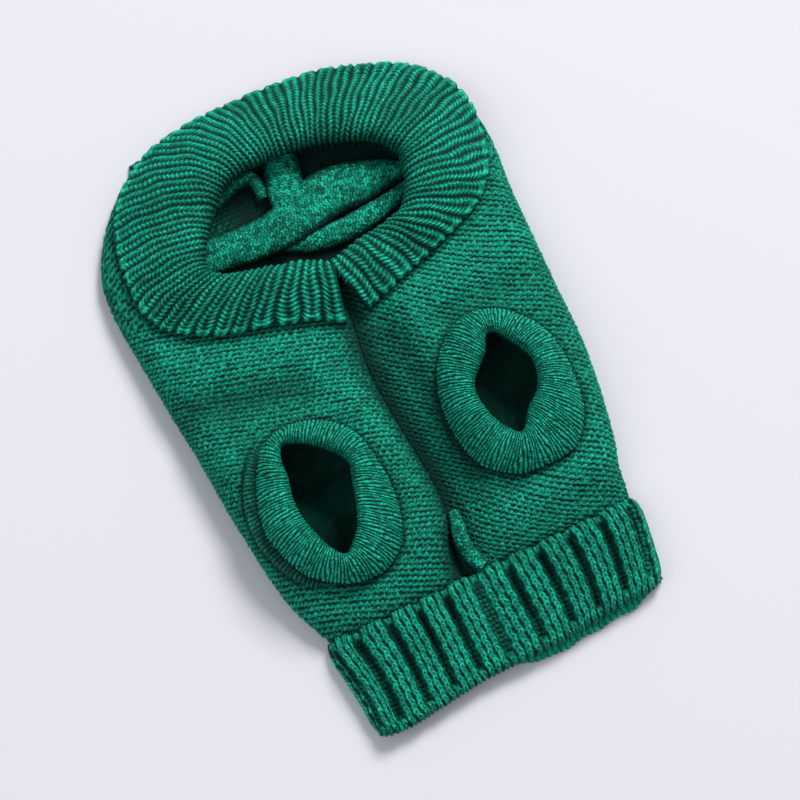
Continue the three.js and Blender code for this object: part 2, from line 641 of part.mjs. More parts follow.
function backPanel() {
  const inset = TUCK + CLOTH + SEAM + 0.8;
  const steps = 22;
  const left = [];
  const right = [];
  for (let i = 0; i <= steps; i += 1) {
    const y = mix(HEM_TOP, NECK_TOP, i / steps);
    const row = readTable(BODY, 'y', y);
    left.push([row.left + inset, y]);
    right.push([row.right - inset, y]);
  }
  return plate([...right, ...left.reverse()], CLOTH);
}

function hemBack() {
  const steps = 16;
  const inset = 5.6;
  const points = [];
  for (let i = 0; i <= steps; i += 1) {
    const x = mix(HEM[5].left + inset, HEM[5].right - inset, i / steps);
    points.push([x, readTable(HEM_EDGE, 'x', x).y - mix(HEM_REACH.left, HEM_REACH.right, i / steps)]);
  }
  const top = [...HEM].reverse().map((row) => [row.right - inset, mix(HEM_TOP - SEAM, -158, row.along)]);
  const back = HEM.map((row) => [row.left + inset, mix(HEM_TOP - SEAM, -168, row.along)]);
  return plate([...points, ...top.slice(1), ...back.slice(0, -1)], HEM_BACK);
}

// Soft strands with a flat underside, along a line over what they lie on

const STRAND_SECTION = [
  { side: -0.42, up: 0.0 },
  { side: -0.5, up: 0.3 },
  { side: -0.42, up: 0.68 },
  { side: -0.22, up: 0.94 },
  { side: 0.0, up: 1.0 },
  { side: 0.22, up: 0.94 },
  { side: 0.42, up: 0.68 },
  { side: 0.5, up: 0.3 },
  { side: 0.42, up: 0.0 },
];

function strand(rows, steps, floorAt) {
  const shell = new Shell();
  const span = rows.length - 1;
  const grid = shell.addGrid((i, k) => {
    const at = (i / (steps - 1)) * span;
    const row = readTable(rows, null, at);
    const ahead = readTable(rows, null, Math.min(at + 0.05, span));
    const behind = readTable(rows, null, Math.max(at - 0.05, 0));
    const away = Math.hypot(ahead.x - behind.x, ahead.y - behind.y);
    const [sideX, sideY] = [-(ahead.y - behind.y) / away, (ahead.x - behind.x) / away];
    const cut = STRAND_SECTION[k];
    const x = row.x + sideX * cut.side * row.width;
    const y = row.y + sideY * cut.side * row.width;
    return [x, y, floorAt(x, y, row) + row.z + cut.up * row.thick];
  }, steps, STRAND_SECTION.length);
  const ring = grid.map((column) => [...column, column[0]]);
  shell.skin(ring);
  for (const end of [0, grid.length - 1]) {
    for (let k = 1; k < STRAND_SECTION.length - 1; k += 1) {
      shell.face(grid[end][0], grid[end][k], grid[end][k + 1], end > 0);
    }
  }
  return shell.geometry();
}

// Assembly

const GREEN = { color: 0x0f7a62, roughness: 0.9, metalness: 0.0 };
const sweater = new THREE.Group();

function add(name, geometry) {
  const mesh = new THREE.Mesh(geometry, new THREE.MeshStandardMaterial(GREEN));
  mesh.name = name;
  sweater.add(mesh);
}

const neckHole = solidOf(holeOver(COLLAR, false));
const legHoles = { left: solidOf(holeOver(CUFF_LEFT, true)), right: solidOf(holeOver(CUFF_RIGHT, true)) };
for (const side of ['left', 'right']) {
  const panel = solidOf(bellyPanel(side)).subtract(neckHole).subtract(legHoles[side]);
  add(`belly_${side}`, geometryOf(panel));
}
add('back_panel', backPanel());
add('collar', turnedBand({
  rows: COLLAR,
  section: COLLAR_SECTION,
  closed: false,
  cloth: RIB_CLOTH,
  ribs: COLLAR_RIBS,
  relief: COLLAR_RIB,
}));
for (const [side, rows] of [['left', CUFF_LEFT], ['right', CUFF_RIGHT]]) {
  add(`leg_cuff_${side}`, turnedBand({
    rows, section: CUFF_SECTION, closed: true, cloth: CUFF_CLOTH, ribs: CUFF_RIBS, relief: CUFF_RIB,
  }));
}
add('hem_front', hemFront());
add('hem_back', hemBack());
for (const [name, rows] of Object.entries(STRANDS)) {
  add(name, strand(rows, 3 * rows.length - 2, () => CLOTH + SEAM));
}
add('seam_roll', strand(SEAM_ROLL, 11, (x, y) => bodyTop(x, y, 'right') + 2 * SEAM));

// The origin goes to the middle of the outline
const middle = new THREE.Box3().setFromObject(sweater).getCenter(new THREE.Vector3());
for (const mesh of sweater.children) mesh.geometry.translate(-middle.x, -middle.y, 0);

export default sweater;
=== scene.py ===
"""A knitted dog sweater lying belly up: looks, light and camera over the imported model."""

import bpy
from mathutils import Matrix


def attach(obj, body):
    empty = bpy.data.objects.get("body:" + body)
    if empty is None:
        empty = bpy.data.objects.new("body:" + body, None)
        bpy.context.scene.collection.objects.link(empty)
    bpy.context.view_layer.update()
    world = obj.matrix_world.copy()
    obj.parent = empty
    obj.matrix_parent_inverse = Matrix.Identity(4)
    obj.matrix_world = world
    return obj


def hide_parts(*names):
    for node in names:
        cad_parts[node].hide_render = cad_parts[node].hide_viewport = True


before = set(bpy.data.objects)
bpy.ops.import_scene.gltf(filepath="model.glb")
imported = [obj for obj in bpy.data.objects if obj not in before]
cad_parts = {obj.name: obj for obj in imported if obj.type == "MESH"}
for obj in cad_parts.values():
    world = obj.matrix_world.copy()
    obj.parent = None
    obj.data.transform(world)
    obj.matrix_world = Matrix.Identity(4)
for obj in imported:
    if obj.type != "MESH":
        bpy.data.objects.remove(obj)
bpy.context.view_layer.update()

import math

import bpy
import numpy as np
from mathutils import Matrix

MM = 0.001
Z_AXIS = np.array([0, 0, 1.0])
ORIGIN = np.array([0.417, 0.300, 0.0])  # the tables' origin in the model, in millimetres

# Cloth sizes, in millimetres
CLOTH = 3.0
RIB_CLOTH = 3.2
CUFF_CLOTH = 2.4
SEAM = 0.3
HEM_TOP = -118.5
NECK_TOP = 160.0
SIDE_RADIUS = 15.0
SIDE_BELLY = 0.3
TUCK = 2.5
TUCK_ANGLE = math.radians(-35)
LIP_RADIUS = {"left": 17.0, "right": 30.0}
DRAPE = 10.0
PATCH = 5.0

# Stitch sizes, in millimetres: width of a stitch and height of a row
BODY_STITCH = 3.5
BODY_ROW = 2.55
RIB_STITCH = 3.4
RIB_ROW = 2.5
CUFF_ROW = 1.7
CABLE_KNIT = (2.9, 1.9)
ROLL_KNIT = (2.6, 2.2)

BODY_COLUMNS = ("y", "left", "right", "lip_left", "lip_right", "seam_z", "top_left", "top_right")
BODY = [
    (-118.5, -83, 88, -9, -3, 9, 12, 12),
    (-110, -87, 89, -10.5, -4.5, 8, 14.5, 14),
    (-98, -92, 91, -7.5, -4, 8, 18, 17),
    (-85, -96, 95, -1.8, -1.2, 8.5, 21, 20),
    (-60, -99.5, 100, -0.8, -0.2, 9, 23, 22),
    (-30, -102.5, 104, -3.3, -2.7, 10, 24, 23),
    (0, -104.5, 105, -4.8, -4.2, 12, 23, 22.5),
    (30, -107.5, 106.5, -1.3, -0.7, 14.5, 20.5, 20.5),
    (60, -110, 108, 2.2, 2.8, 17, 18, 18),
    (90, -112, 111, 2.7, 3.3, 16, 16, 16),
    (110, -109.5, 109.5, 2.7, 3.3, 14, 14, 14),
    (130, -99.5, 101, 2.7, 3.3, 12.5, 12.5, 12.5),
    (146, -86, 83, 2.7, 3.3, 9.6, 9.6, 9.6),
    (160, -70, 52, 2.7, 3.3, 7.6, 7.6, 7.6),
]

# Soft troughs (negative) and ridges of the belly: two ends, height and width
FOLDS = [
    (-98, 22, -44, 8, -3.0, 9),
    (-92, 46, -30, 26, 1.6, 10),
    (-26, 8, -14, -34, 1.4, 7),
    (14, 18, 20, -70, -3.2, 8),
    (30, 26, 92, 30, 1.8, 12),
    (44, 10, 98, 12, -1.6, 8),
    (28, -96, 86, -94, 1.2, 8),
    (-88, -104, -30, -108, 1.0, 7),
]
FOLDS_END = 70.0  # near the collar the folds fade out, up to this height
FOLDS_FADE = 20.0

# Turned-down bands: places on the fold ("in") and the free edge ("out"), and the fold's rise
BAND_COLUMNS = ("in_x", "in_y", "out_x", "out_y", "rise")
COLLAR = [
    (4.6, 62, 11, 31.5, 13),
    (21.7, 65.6, 34, 38, 15),
    (36.8, 66.8, 65.5, 48.7, 16),
    (49.4, 72.3, 91, 62, 17),
    (57.1, 85.7, 105, 86, 18),
    (60, 101, 108, 120, 18),
    (49, 115, 90, 149.5, 17),
    (25.1, 124.8, 44, 166, 17),
    (-2, 128.5, -6, 171, 17),
    (-25.5, 127, -48, 166.5, 17),
    (-39, 116, -78, 150.5, 17),
    (-49, 104, -92.5, 128, 17),
    (-57, 90, -98.5, 96, 17),
    (-55, 80.5, -93.5, 70, 16),
    (-37, 74.5, -70, 52.5, 15),
    (-17.7, 69.1, -40, 43.5, 15),
    (-6.5, 65, -20, 37, 16),
    (2, 59.5, -5.6, 29.5, 14),
]
COLLAR_TUCKED = (1.2, 59.8, 9.6, 31.2, 11)  # the right end's inner corner lies under the left end
COLLAR_RIBS = 50
RAIL_HALF = 0.165  # half the width of a rib's two rails, as a share of the rib
COLLAR_LEAN = 0.05  # how far the ribs sweep sideways at the collar's left, as a share of its length
SECTION_COLUMNS = ("across", "up")
COLLAR_SECTION = [
    (0.06, 0),
    (0, 0.42),
    (0.04, 0.78),
    (0.16, 0.98),
    (0.36, 0.98),
    (0.58, 0.8),
    (0.81, 0.52),
    (1, 0.24),
]

CUFF_LEFT = [
    (-38.5, -49, -21.8, -56, 14),
    (-37, -41, -23.8, -40, 14),
    (-41.5, -32.5, -29, -24, 14),
    (-49.5, -24.5, -40, -13.5, 13),
    (-57.5, -19.5, -52, -9.5, 12.5),
    (-64, -18.5, -64, -10, 12),
    (-67.5, -25, -75.5, -16, 12.5),
    (-68.5, -35, -84, -29, 13),
    (-70.5, -46, -89, -45, 13.5),
    (-70.5, -58, -90, -61, 14),
    (-67.5, -69, -84.5, -78, 14),
    (-63.5, -78, -73, -90, 14),
    (-58.5, -83.5, -58, -97.5, 14),
    (-53, -80, -43, -97.5, 14),
    (-47.5, -73, -31, -89, 14),
    (-42.5, -62, -24, -73.5, 14),
]
CUFF_RIGHT = [
    (71.5, -40.5, 89, -46, 13),
    (72, -31.5, 88.5, -32, 12.5),
    (69, -23.5, 84.5, -18.5, 12.5),
    (65, -16.5, 77.5, -7.5, 12.5),
    (61.5, -11.5, 67.5, 1, 13),
    (56.5, -11.5, 54, 3.8, 13.5),
    (52, -18.5, 41.5, 0, 14),
    (45.5, -25, 31, -9, 14),
    (40, -31, 23.8, -21.5, 14),
    (37.8, -40, 19.8, -38, 14),
    (39.5, -51, 20, -55, 14),
    (44.5, -60, 26, -71.5, 14),
    (50, -65.5, 40, -82.5, 14),
    (54.5, -62, 57, -84.8, 14),
    (59.5, -55, 73, -81.5, 13.5),
    (67, -49, 85, -67, 13),
]
CUFF_RIBS = 120
# The left cuff's lower turn, beyond its free edge
POINT_COLUMNS = ("x", "y")
CUFF_UNDER = [
    (-70, -12),
    (-80, -19),
    (-87, -29),
    (-91, -42),
    (-91.5, -56),
    (-88.5, -70),
    (-82.5, -82.5),
    (-73, -92.5),
]
CUFF_UNDER_HALF = 3.8
CUFF_UNDER_RISE = 5.0
CUFF_UNDER_RIBS = 46
CUFF_SECTION = [
    (0.16, 0),
    (0, 0.5),
    (0.06, 0.84),
    (0.28, 1),
    (0.58, 0.9),
    (0.86, 0.56),
    (1, 0.2),
]

HEM_COLUMNS = ("along", "left", "right", "height")
HEM = [
    (0, -85.5, 89.5, 7.6),
    (0.12, -87, 91, 9.4),
    (0.35, -85.5, 90, 10),
    (0.7, -83.5, 87.5, 9.8),
    (0.9, -83, 86, 9.4),
    (1, -81.5, 84, 8.2),
]
HEM_EDGE = [
    (-84, -168),
    (-70, -171.5),
    (-48, -169.5),
    (-20, -166.5),
    (15, -166.3),
    (45, -164),
    (72, -162),
    (86, -159),
]
HEM_RIB_HEIGHT = 2.3
HEM_BACK = 3.4
HEM_SIDE = 8.0
HEM_OVER = 2.2  # how far the rib tops reach over the body
HEM_CORD = 2.7  # spacing of the stitches along the free edge
HEM_RIM = 1.9  # how far the rounded free edge reaches out
WALES = 4.0  # places from groove to groove, and their width past the outer grooves
SIDE_WALE = 4.2
# Grooves of the waist band: place across it, width and depth
HEM_GROOVES = [
    (-81, 5, 1.5),
    (-70, 10, 2.3),
    (-52.5, 8.5, 2.3),
    (-36.5, 7, 2.3),
    (-21, 8, 2.2),
    (-4, 14, 1.4),
    (15, 8, 2.3),
    (32.5, 7.5, 2.3),
    (49, 7, 2.3),
    (66, 8, 2.2),
    (81.5, 5, 1.5),
]

# Strands: places along each, its width, how far it lies above the inner face and its thickness
STRAND_COLUMNS = ("x", "y", "width", "z", "thick")
STRANDS = {
    "cable_strand_top": [
        (5.6, 134, 16, 0, 4.2),
        (3.6, 127, 18.5, 0, 4.8),
        (1.2, 119, 20, 0, 5.2),
        (-0.6, 112.5, 19.6, 0, 3.6),
        (-2.8, 104, 17, 0, 3.2),
        (-4.2, 97.5, 12, 0, 2.6),
    ],
    "cable_strand_wide": [
        (-68, 97.4, 18, 0, 4.4),
        (-60.5, 97.1, 21, 0, 5),
        (-45.8, 96, 20, 0.2, 5.4),
        (-30.3, 94, 21, 1.4, 5.8),
        (-14.1, 93.6, 22, 4, 5.8),
        (2.4, 97.3, 25, 4.2, 5.8),
        (20.2, 101.4, 26.5, 2.2, 6.2),
        (37, 100.4, 23.6, 0.6, 6.2),
        (51.2, 98.6, 15.5, 0.2, 5.4),
        (61, 96.9, 9, 0, 4.4),
        (68, 96.1, 5, 0, 3.6),
    ],
    "cable_strand_low": [
        (-14, 87, 9, 0, 2.6),
        (-4, 83.2, 12, 0, 3),
        (7, 80.2, 12.4, 0, 4.6),
        (20, 79.4, 12.8, 0, 5.4),
        (34, 80.8, 12, 0, 5.4),
        (48.5, 83.4, 9.6, 0, 5),
        (58, 86.2, 7, 0, 4.2),
        (66, 88.2, 4.5, 0, 3.4),
    ],
    "cable_strand_loop": [
        (-51, 111, 5, 0, 3.6),
        (-42, 119.5, 6, 0, 4.4),
        (-32.5, 124.6, 6.6, 0, 4.8),
        (-22.6, 128, 7, 0, 4.8),
        (-14.8, 127.6, 7, 0, 4.8),
        (-12.6, 121.5, 6, 0, 4.4),
        (-13.4, 114, 5, 0, 3.6),
    ],
}
STRAND_SECTION = [
    (-0.42, 0),
    (-0.5, 0.3),
    (-0.42, 0.68),
    (-0.22, 0.94),
    (0, 1),
    (0.22, 0.94),
    (0.42, 0.68),
    (0.5, 0.3),
    (0.42, 0),
]
# near this place the painted shade on the strands' sides is left out, so the top strand runs into the
# wide one
CROSSING = (-3.0, 102.0, 11.0)  # where the top strand lies on the wide one: place and reach
CROSSING_LIFT = 6.8  # how far the top strand's lower end rises to lie there
SEAM_ROLL = [
    (1.5, -84, 5, 0, 4),
    (0.8, -91, 7.5, 0, 6.5),
    (-0.8, -101, 8, 0, 7),
    (0.6, -110, 8, 0, 6),
    (3.8, -116.6, 8, 0, 4.6),
]

# Camera, as the photograph was taken
CAMERA_ELEVATION = math.radians(76)
CAMERA_TURN = math.radians(26)  # the sweater's turn on the table, anticlockwise
CAMERA_DISTANCE = 1400.0
FRAME_PIXELS = 800
PIXELS_PER_MM = 1.9  # at the target
SENSOR = 36.0
CAMERA_TARGET = np.array([4.6, -16.0, 0.0])


# Curves


def curve(columns, rows, at, key=None, closed=False):
    """Smooth curve through a table's rows: a dict of columns at each place in `at`."""
    rows = np.array(rows, float)
    count = len(rows)
    knots = rows[:, columns.index(key)] if key else np.arange(count, dtype=float)
    at = np.asarray(at, float)
    if closed:
        at = at % count
        i = np.floor(at).astype(int) % count
        before_i, next_i, after_i = (i - 1) % count, (i + 1) % count, (i + 2) % count
        step = np.ones_like(at)
        before = after = 2 * step
    else:
        at = np.clip(at, knots[0], knots[-1])
        i = np.clip(np.searchsorted(knots, at, "right") - 1, 0, count - 2)
        before_i, next_i, after_i = np.maximum(i - 1, 0), i + 1, np.minimum(i + 2, count - 1)
        step = knots[next_i] - knots[i]
        before = knots[next_i] - knots[before_i]
        after = knots[after_i] - knots[i]
    t = ((at - (i if closed else knots[i])) / step)[..., None]
    step, before, after = step[..., None], before[..., None], after[..., None]
    a, b, c, d = rows[before_i], rows[i], rows[next_i], rows[after_i]
    slope_in = np.where(before > step * 1.000001, (c - a) / before, (c - b) / step) * step
    slope_out = np.where(after > step * 1.000001, (d - b) / after, (c - b) / step) * step
    t2, t3 = t * t, t * t * t
    out = (2 * t3 - 3 * t2 + 1) * b + (t3 - 2 * t2 + t) * slope_in
    out += (3 * t2 - 2 * t3) * c + (t3 - t2) * slope_out
    return {name: out[..., k] for k, name in enumerate(columns)}


def mix(a, b, t):
    return a + (b - a) * t


def quarter_round(share):
    """Height of a rounded edge at a share of its radius from the side."""
    return np.sqrt(1 - (1 - np.clip(share, 0, 1)) ** 2)


def bell(x, width):
    """1 at zero, falling away on both sides."""
    return np.exp(-((x / width) ** 2))


def ease(x, low, high):
    """Rises smoothly from 0 at `low` to 1 at `high`."""
    t = np.clip((x - low) / (high - low), 0, 1)
    return t * t * (3 - 2 * t)


def ripple(turns):
    """A wave from 0 to 1 with a crest at each whole number."""
    return 0.5 + 0.5 * np.cos(2 * np.pi * turns)


def unit(vectors):
    return vectors / np.maximum(np.linalg.norm(vectors, axis=-1, keepdims=True), 1e-9)


def speckle(i, j, seed):
    """A scattered value from 0 to 1 for each pair of whole numbers."""
    wave = np.sin(i * 12.9898 + j * 78.233 + seed * 37.719) * 43758.5453
    return wave - np.floor(wave)


def drift(x, y, seed):
    """A slow, smooth wander from about -1 to 1."""
    out = 0.5 * np.sin(0.071 * x + 0.043 * y + seed)
    out += 0.3 * np.sin(0.031 * x - 0.097 * y + 2.1 * seed)
    return out + 0.2 * np.sin(0.153 * x + 0.121 * y + 3.7 * seed)


# Knitting, as heights from 0 to 1. `c` counts stitches across and `r` counts rows.


def purl(c, r, seed):
    """Back of the fabric: wavy rows of thick loop heads, with low bridges from row to row."""
    height = np.zeros(np.broadcast(c, r).shape)
    for step in (-1, 0, 1):
        row = np.floor(r) + step
        across = c + 0.8 * speckle(row, 0, seed) + 0.3 * np.sin(0.7 * c + 2.3 * row)
        stitch = np.floor(across)
        head = 1 - ripple(across)
        size = speckle(stitch, row, seed + 1)
        slope = 0.34 * (across - stitch - 0.5) * head
        centre = row + 0.5 + 0.22 * (head - 0.5) + slope
        centre = centre + 0.3 * (speckle(stitch, row, seed + 2) - 0.5) * head
        half = mix(0.30, 0.38 + 0.14 * size, head)
        lift = mix(0.55, 0.62 + 0.38 * size, head)
        away = np.clip(np.abs(r - centre) / half, 0, 1)
        height = np.maximum(height, lift * np.sqrt(1 - away**2))
        bridge = (1 - head) ** 2 * mix(0.1, 0.7, speckle(stitch, row, seed + 5))
        away = np.clip(np.abs(r - row - 1) / 0.4, 0, 1)
        height = np.maximum(height, bridge * np.sqrt(1 - away**2))
    return height


V_ROWS = 1.4  # length of a V's arm, in rows, so that each V lies in the next
V_HALF = 0.23  # half its thickness, in columns


def knit(c, r, seed, uneven=0.25):
    """Face of the fabric: columns of nested Vs, one column for each whole `c`."""
    height = np.zeros(np.broadcast(c, r).shape)
    column = np.floor(c)
    local = c - column - 0.5
    r = r + 0.3 * speckle(column, 0, seed + 3)
    for step in (-1, 0):
        row = np.floor(r) + step
        for side in (-1, 1):
            t = (r - row) / V_ROWS
            centre = side * (0.06 + 0.25 * t)
            inside = (t > 0) & (t < 1)
            lift = 0.35 + 0.65 * np.sin(np.pi * np.clip(t, 0, 1))
            lift = lift * (1 - uneven * speckle(column, row, seed + side))
            away = np.clip(np.abs(local - centre) / V_HALF, 0, 1)
            height = np.maximum(height, np.where(inside, lift * (1 - away**2), 0))
    return height


def chevrons(c, r, seed, uneven):
    """Face of a tight, marled fabric: Vs of yarn, some light and some dark, with no gaps between."""
    column = np.floor(c)
    local = c - column - 0.5
    along = r + 1.25 * np.abs(local) + 0.3 * speckle(column, 0, seed)
    row = np.floor(along)
    stroke = np.sqrt(1 - np.clip(np.abs(2 * (along - row) - 1), 0, 1) ** 2)
    shade = speckle(2 * column + (local > 0), row, seed + 1)
    return stroke * (1 - uneven * shade)


# The belly's outer surface, as in the CAD model


def fold_height(x, y):
    total = np.zeros(np.broadcast(x, y).shape)
    for x1, y1, x2, y2, height, width in FOLDS:
        dx, dy = x2 - x1, y2 - y1
        t = np.clip(((x - x1) * dx + (y - y1) * dy) / (dx * dx + dy * dy), 0, 1)
        total += height * bell(np.hypot(x - x1 - t * dx, y - y1 - t * dy), width)
    return total


def body_top(x, y, is_left):
    row = curve(BODY_COLUMNS, BODY, y, "y")
    from_edge = np.where(is_left, x - row["left"], row["right"] - x)
    from_lip = np.where(is_left, row["lip_left"] - x, x - row["lip_right"])
    mound = np.where(is_left, row["top_left"], row["top_right"])
    widest = SIDE_BELLY * mound
    edge_rise = quarter_round(from_edge / SIDE_RADIUS)
    lip_rise = np.where(
        is_left,
        quarter_round(from_lip / LIP_RADIUS["left"]),
        1 - ripple(np.clip(from_lip / LIP_RADIUS["right"], 0, 1) / 2),
    )
    calm = np.clip((FOLDS_END - y) / FOLDS_FADE, 0, 1)
    top = widest + (mound - widest) * edge_rise - (mound - row["seam_z"]) * (1 - lip_rise)
    return top + fold_height(x, y) * edge_rise * lip_rise * calm


def carried_height(x, y):
    row = curve(BODY_COLUMNS, BODY, y, "y")
    past = np.maximum(np.maximum(row["left"] - x, x - row["right"]), y - NECK_TOP)
    is_left = x < (row["lip_left"] + row["lip_right"]) / 2
    held = np.clip(x, row["left"], row["right"])
    top = body_top(held, np.minimum(y, NECK_TOP), is_left)
    return top * np.clip(1 - np.maximum(past, 0) / DRAPE, 0, 1)


def support_top(x, y):
    patch = [(0, 0), (PATCH, 0), (-PATCH, 0), (0, PATCH), (0, -PATCH)]
    return np.max([carried_height(x + dx, y + dy) for dx, dy in patch], axis=0)


# Grids and meshes


def normals(points, closed=False):
    """Unit normals of a grid of points, rows by columns."""
    if closed:
        along = np.roll(points, -1, 0) - np.roll(points, 1, 0)
    else:
        along = np.gradient(points, axis=0)
    across = np.gradient(points, axis=1)
    return unit(np.cross(along, across))


def facing_up(normal):
    """Turns a grid's normals so that they point up on average."""
    return normal if np.mean(normal[..., 2]) > 0 else -normal


def stack(*parts):
    """Points from their x, y and z, or pairs from two values."""
    return np.stack(parts, -1)


def run_length(points, axis):
    """Distance walked along one axis of a grid of points."""
    steps = np.linalg.norm(np.diff(points, axis=axis), axis=-1)
    zero = np.zeros_like(np.take(steps, [0], axis=axis))
    return np.concatenate([zero, np.cumsum(steps, axis=axis)], axis=axis)


def even_places(points, places, count):
    """Places along a line, respaced so that the points they give lie evenly."""
    run = run_length(points, 0)
    return np.interp(np.linspace(0, run[-1], count), run, places)


def quads(points, closed=False):
    """Faces between the neighbours of a grid of points."""
    rows, columns = points.shape[:2]
    i = np.arange(rows if closed else rows - 1)
    j = np.arange(columns - 1)
    here = i[:, None] * columns + j
    there = ((i + 1) % rows)[:, None] * columns + j
    return stack(here, there, there + 1, here + 1)


def add_object(name, data):
    thing = bpy.data.objects.new(name, data)
    bpy.context.scene.collection.objects.link(thing)
    return thing


def make_mesh(name, points, faces, material, pattern, height):
    """A smooth mesh from points in millimetres, with its stitch pattern as the UV map and its painted
    shade as an attribute.
    """
    points = points.reshape(-1, 3)
    faces = faces.reshape(-1, 4)
    used, faces = np.unique(faces, return_inverse=True)
    faces = faces.reshape(-1, 4)
    points = (points[used] + ORIGIN) * MM
    mesh = bpy.data.meshes.new(name)
    mesh.vertices.add(len(points))
    mesh.vertices.foreach_set("co", points.astype(np.float32).ravel())
    mesh.loops.add(faces.size)
    mesh.loops.foreach_set("vertex_index", faces.astype(np.int32).ravel())
    mesh.polygons.add(len(faces))
    mesh.polygons.foreach_set("loop_start", np.arange(0, faces.size, 4, dtype=np.int32))
    mesh.polygons.foreach_set("use_smooth", np.ones(len(faces), dtype=bool))
    mesh.update(calc_edges=True)
    layer = mesh.uv_layers.new(name="stitches")
    flat = pattern.reshape(-1, 2)[used][faces.ravel()]
    layer.data.foreach_set("uv", flat.astype(np.float32).ravel())
    # painted shade: stitch height, dark in the gaps, times the painted shade of creases and hollows
    layer = mesh.attributes.new("painted_stitch_shade", "FLOAT", "POINT")
    layer.data.foreach_set("value", height.reshape(-1)[used].astype(np.float32))
    mesh.validate()
    mesh.materials.append(material)
    piece = add_object(name, mesh)
    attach(piece, "root")
    return piece


# Materials

# Colour of the yarn with painted shade and light: from the shaded gaps between stitches to the lit
# crests
YARN_RAMP = [
    (0.0, (0.0008, 0.010, 0.010)),
    (0.22, (0.0018, 0.062, 0.043)),
    (0.52, (0.0045, 0.31, 0.197)),
    (1.0, (0.028, 0.92, 0.615)),
]
SHEEN_TINT = (0.05, 0.9, 0.6, 1)
# Shares of the fibre streaks, fine fibres, soft blotches and stitch height in the tone; the stitch
# height paints shade into the gaps
STREAK_WEIGHT = 1.5
FIBRE_WEIGHT = 1.1
BLOTCH_WEIGHT = 0.35
HEIGHT_WEIGHT = 0.82


def set_inputs(node, values):
    for socket, value in values.items():
        node.inputs[socket].default_value = value


def yarn_material(name, fleck, streak_turn=35.0, streak_size=0.9):
    """Soft spun yarn: painted shade from the stitch's height, fibre streaks, flecks and fuzz."""
    material = bpy.data.materials.new(name)
    material.use_nodes = True
    nodes, links = material.node_tree.nodes, material.node_tree.links
    nodes.clear()
    output = nodes.new("ShaderNodeOutputMaterial")
    shader = nodes.new("ShaderNodeBsdfPrincipled")
    set_inputs(shader, {"Roughness": 0.75, "Specular IOR Level": 0.12})
    set_inputs(shader, {"Sheen Weight": 0.12, "Sheen Roughness": 0.4, "Sheen Tint": SHEEN_TINT})
    links.new(shader.outputs[0], output.inputs[0])

    def noise(place, scale, detail, roughness=0.5):
        node = nodes.new("ShaderNodeTexNoise")
        set_inputs(node, {"Scale": scale, "Detail": detail, "Roughness": roughness})
        links.new(place, node.inputs["Vector"])
        return node.outputs["Fac"]

    def combine(operation, a, b):
        node = nodes.new("ShaderNodeMath")
        node.operation = operation
        for socket, value in zip(node.inputs, (a, b)):
            if isinstance(value, (int, float)):
                socket.default_value = value
            else:
                links.new(value, socket)
        return node.outputs[0]

    source = nodes.new("ShaderNodeTexCoord")
    height = nodes.new("ShaderNodeAttribute")
    height.attribute_name = "painted_stitch_shade"
    turn = nodes.new("ShaderNodeMapping")
    set_inputs(turn, {"Rotation": (0, 0, math.radians(streak_turn))})
    set_inputs(turn, {"Scale": (3.6 / streak_size, 1.2 / streak_size, 1)})
    links.new(source.outputs["UV"], turn.inputs["Vector"])
    streak = noise(turn.outputs[0], 1.5, 3, 0.7)
    fibre = noise(source.outputs["Object"], 1500, 2, 0.6)
    blotch = noise(source.outputs["Object"], 55, 2)

    def centred(value, weight):
        return combine("MULTIPLY", combine("SUBTRACT", value, 0.5), weight)

    tone = combine("ADD", centred(streak, STREAK_WEIGHT * fleck), centred(fibre, FIBRE_WEIGHT * fleck))
    tone = combine("ADD", tone, centred(blotch, BLOTCH_WEIGHT))
    # the flecks fade out in the painted shade of the gaps between the stitches
    tone = combine("MULTIPLY", tone, height.outputs["Fac"])
    # painted shade: the lower the stitch height attribute, the darker the colour
    tone = combine("ADD", tone, combine("MULTIPLY", height.outputs["Fac"], HEIGHT_WEIGHT))
    ramp = nodes.new("ShaderNodeValToRGB")
    while len(ramp.color_ramp.elements) < len(YARN_RAMP):
        ramp.color_ramp.elements.new(0.5)
    for element, (position, colour) in zip(ramp.color_ramp.elements, YARN_RAMP):
        element.position = position
        element.color = (*colour, 1)
    links.new(tone, ramp.inputs["Fac"])
    links.new(ramp.outputs["Color"], shader.inputs["Base Color"])

    relief = combine("ADD", combine("MULTIPLY", streak, 0.6), combine("MULTIPLY", fibre, 0.4))
    bump = nodes.new("ShaderNodeBump")
    set_inputs(bump, {"Strength": 0.9, "Distance": 0.0009})
    links.new(relief, bump.inputs["Height"])
    links.new(bump.outputs[0], shader.inputs["Normal"])
    return material


body_yarn = yarn_material("body_yarn", fleck=1.25)
rib_yarn = yarn_material("rib_yarn", fleck=1.25, streak_turn=50)
cuff_yarn = yarn_material("cuff_yarn", fleck=1.5, streak_turn=70, streak_size=0.7)
cable_yarn = yarn_material("cable_yarn", fleck=1.3, streak_turn=50, streak_size=0.8)


# Belly panels

BODY_RELIEF = 1.5
BODY_CELL = 0.58  # spacing of the mesh where the panels show
COVERED_FROM = 74.0  # further up the body the collar covers nearly all of the panels
COVERED_CELL = 1.5
TUCK_STEPS = 9
SIDE_STEPS = 40
TOP_STEPS = 152
LIP_STEPS = 7
UNDER_HEM = 3.0  # how far the panels run on under the waist band
HEM_ROLL = 5.0  # length over which they roll down to it
NECK_ROLL = 4.0  # how far they run past the neck end as they roll down to the back panel
# painted shade in the seam's valley: its darkest share and how far it reaches
VALLEY_SHADE = 0.22
VALLEY_WIDTH = 20.0
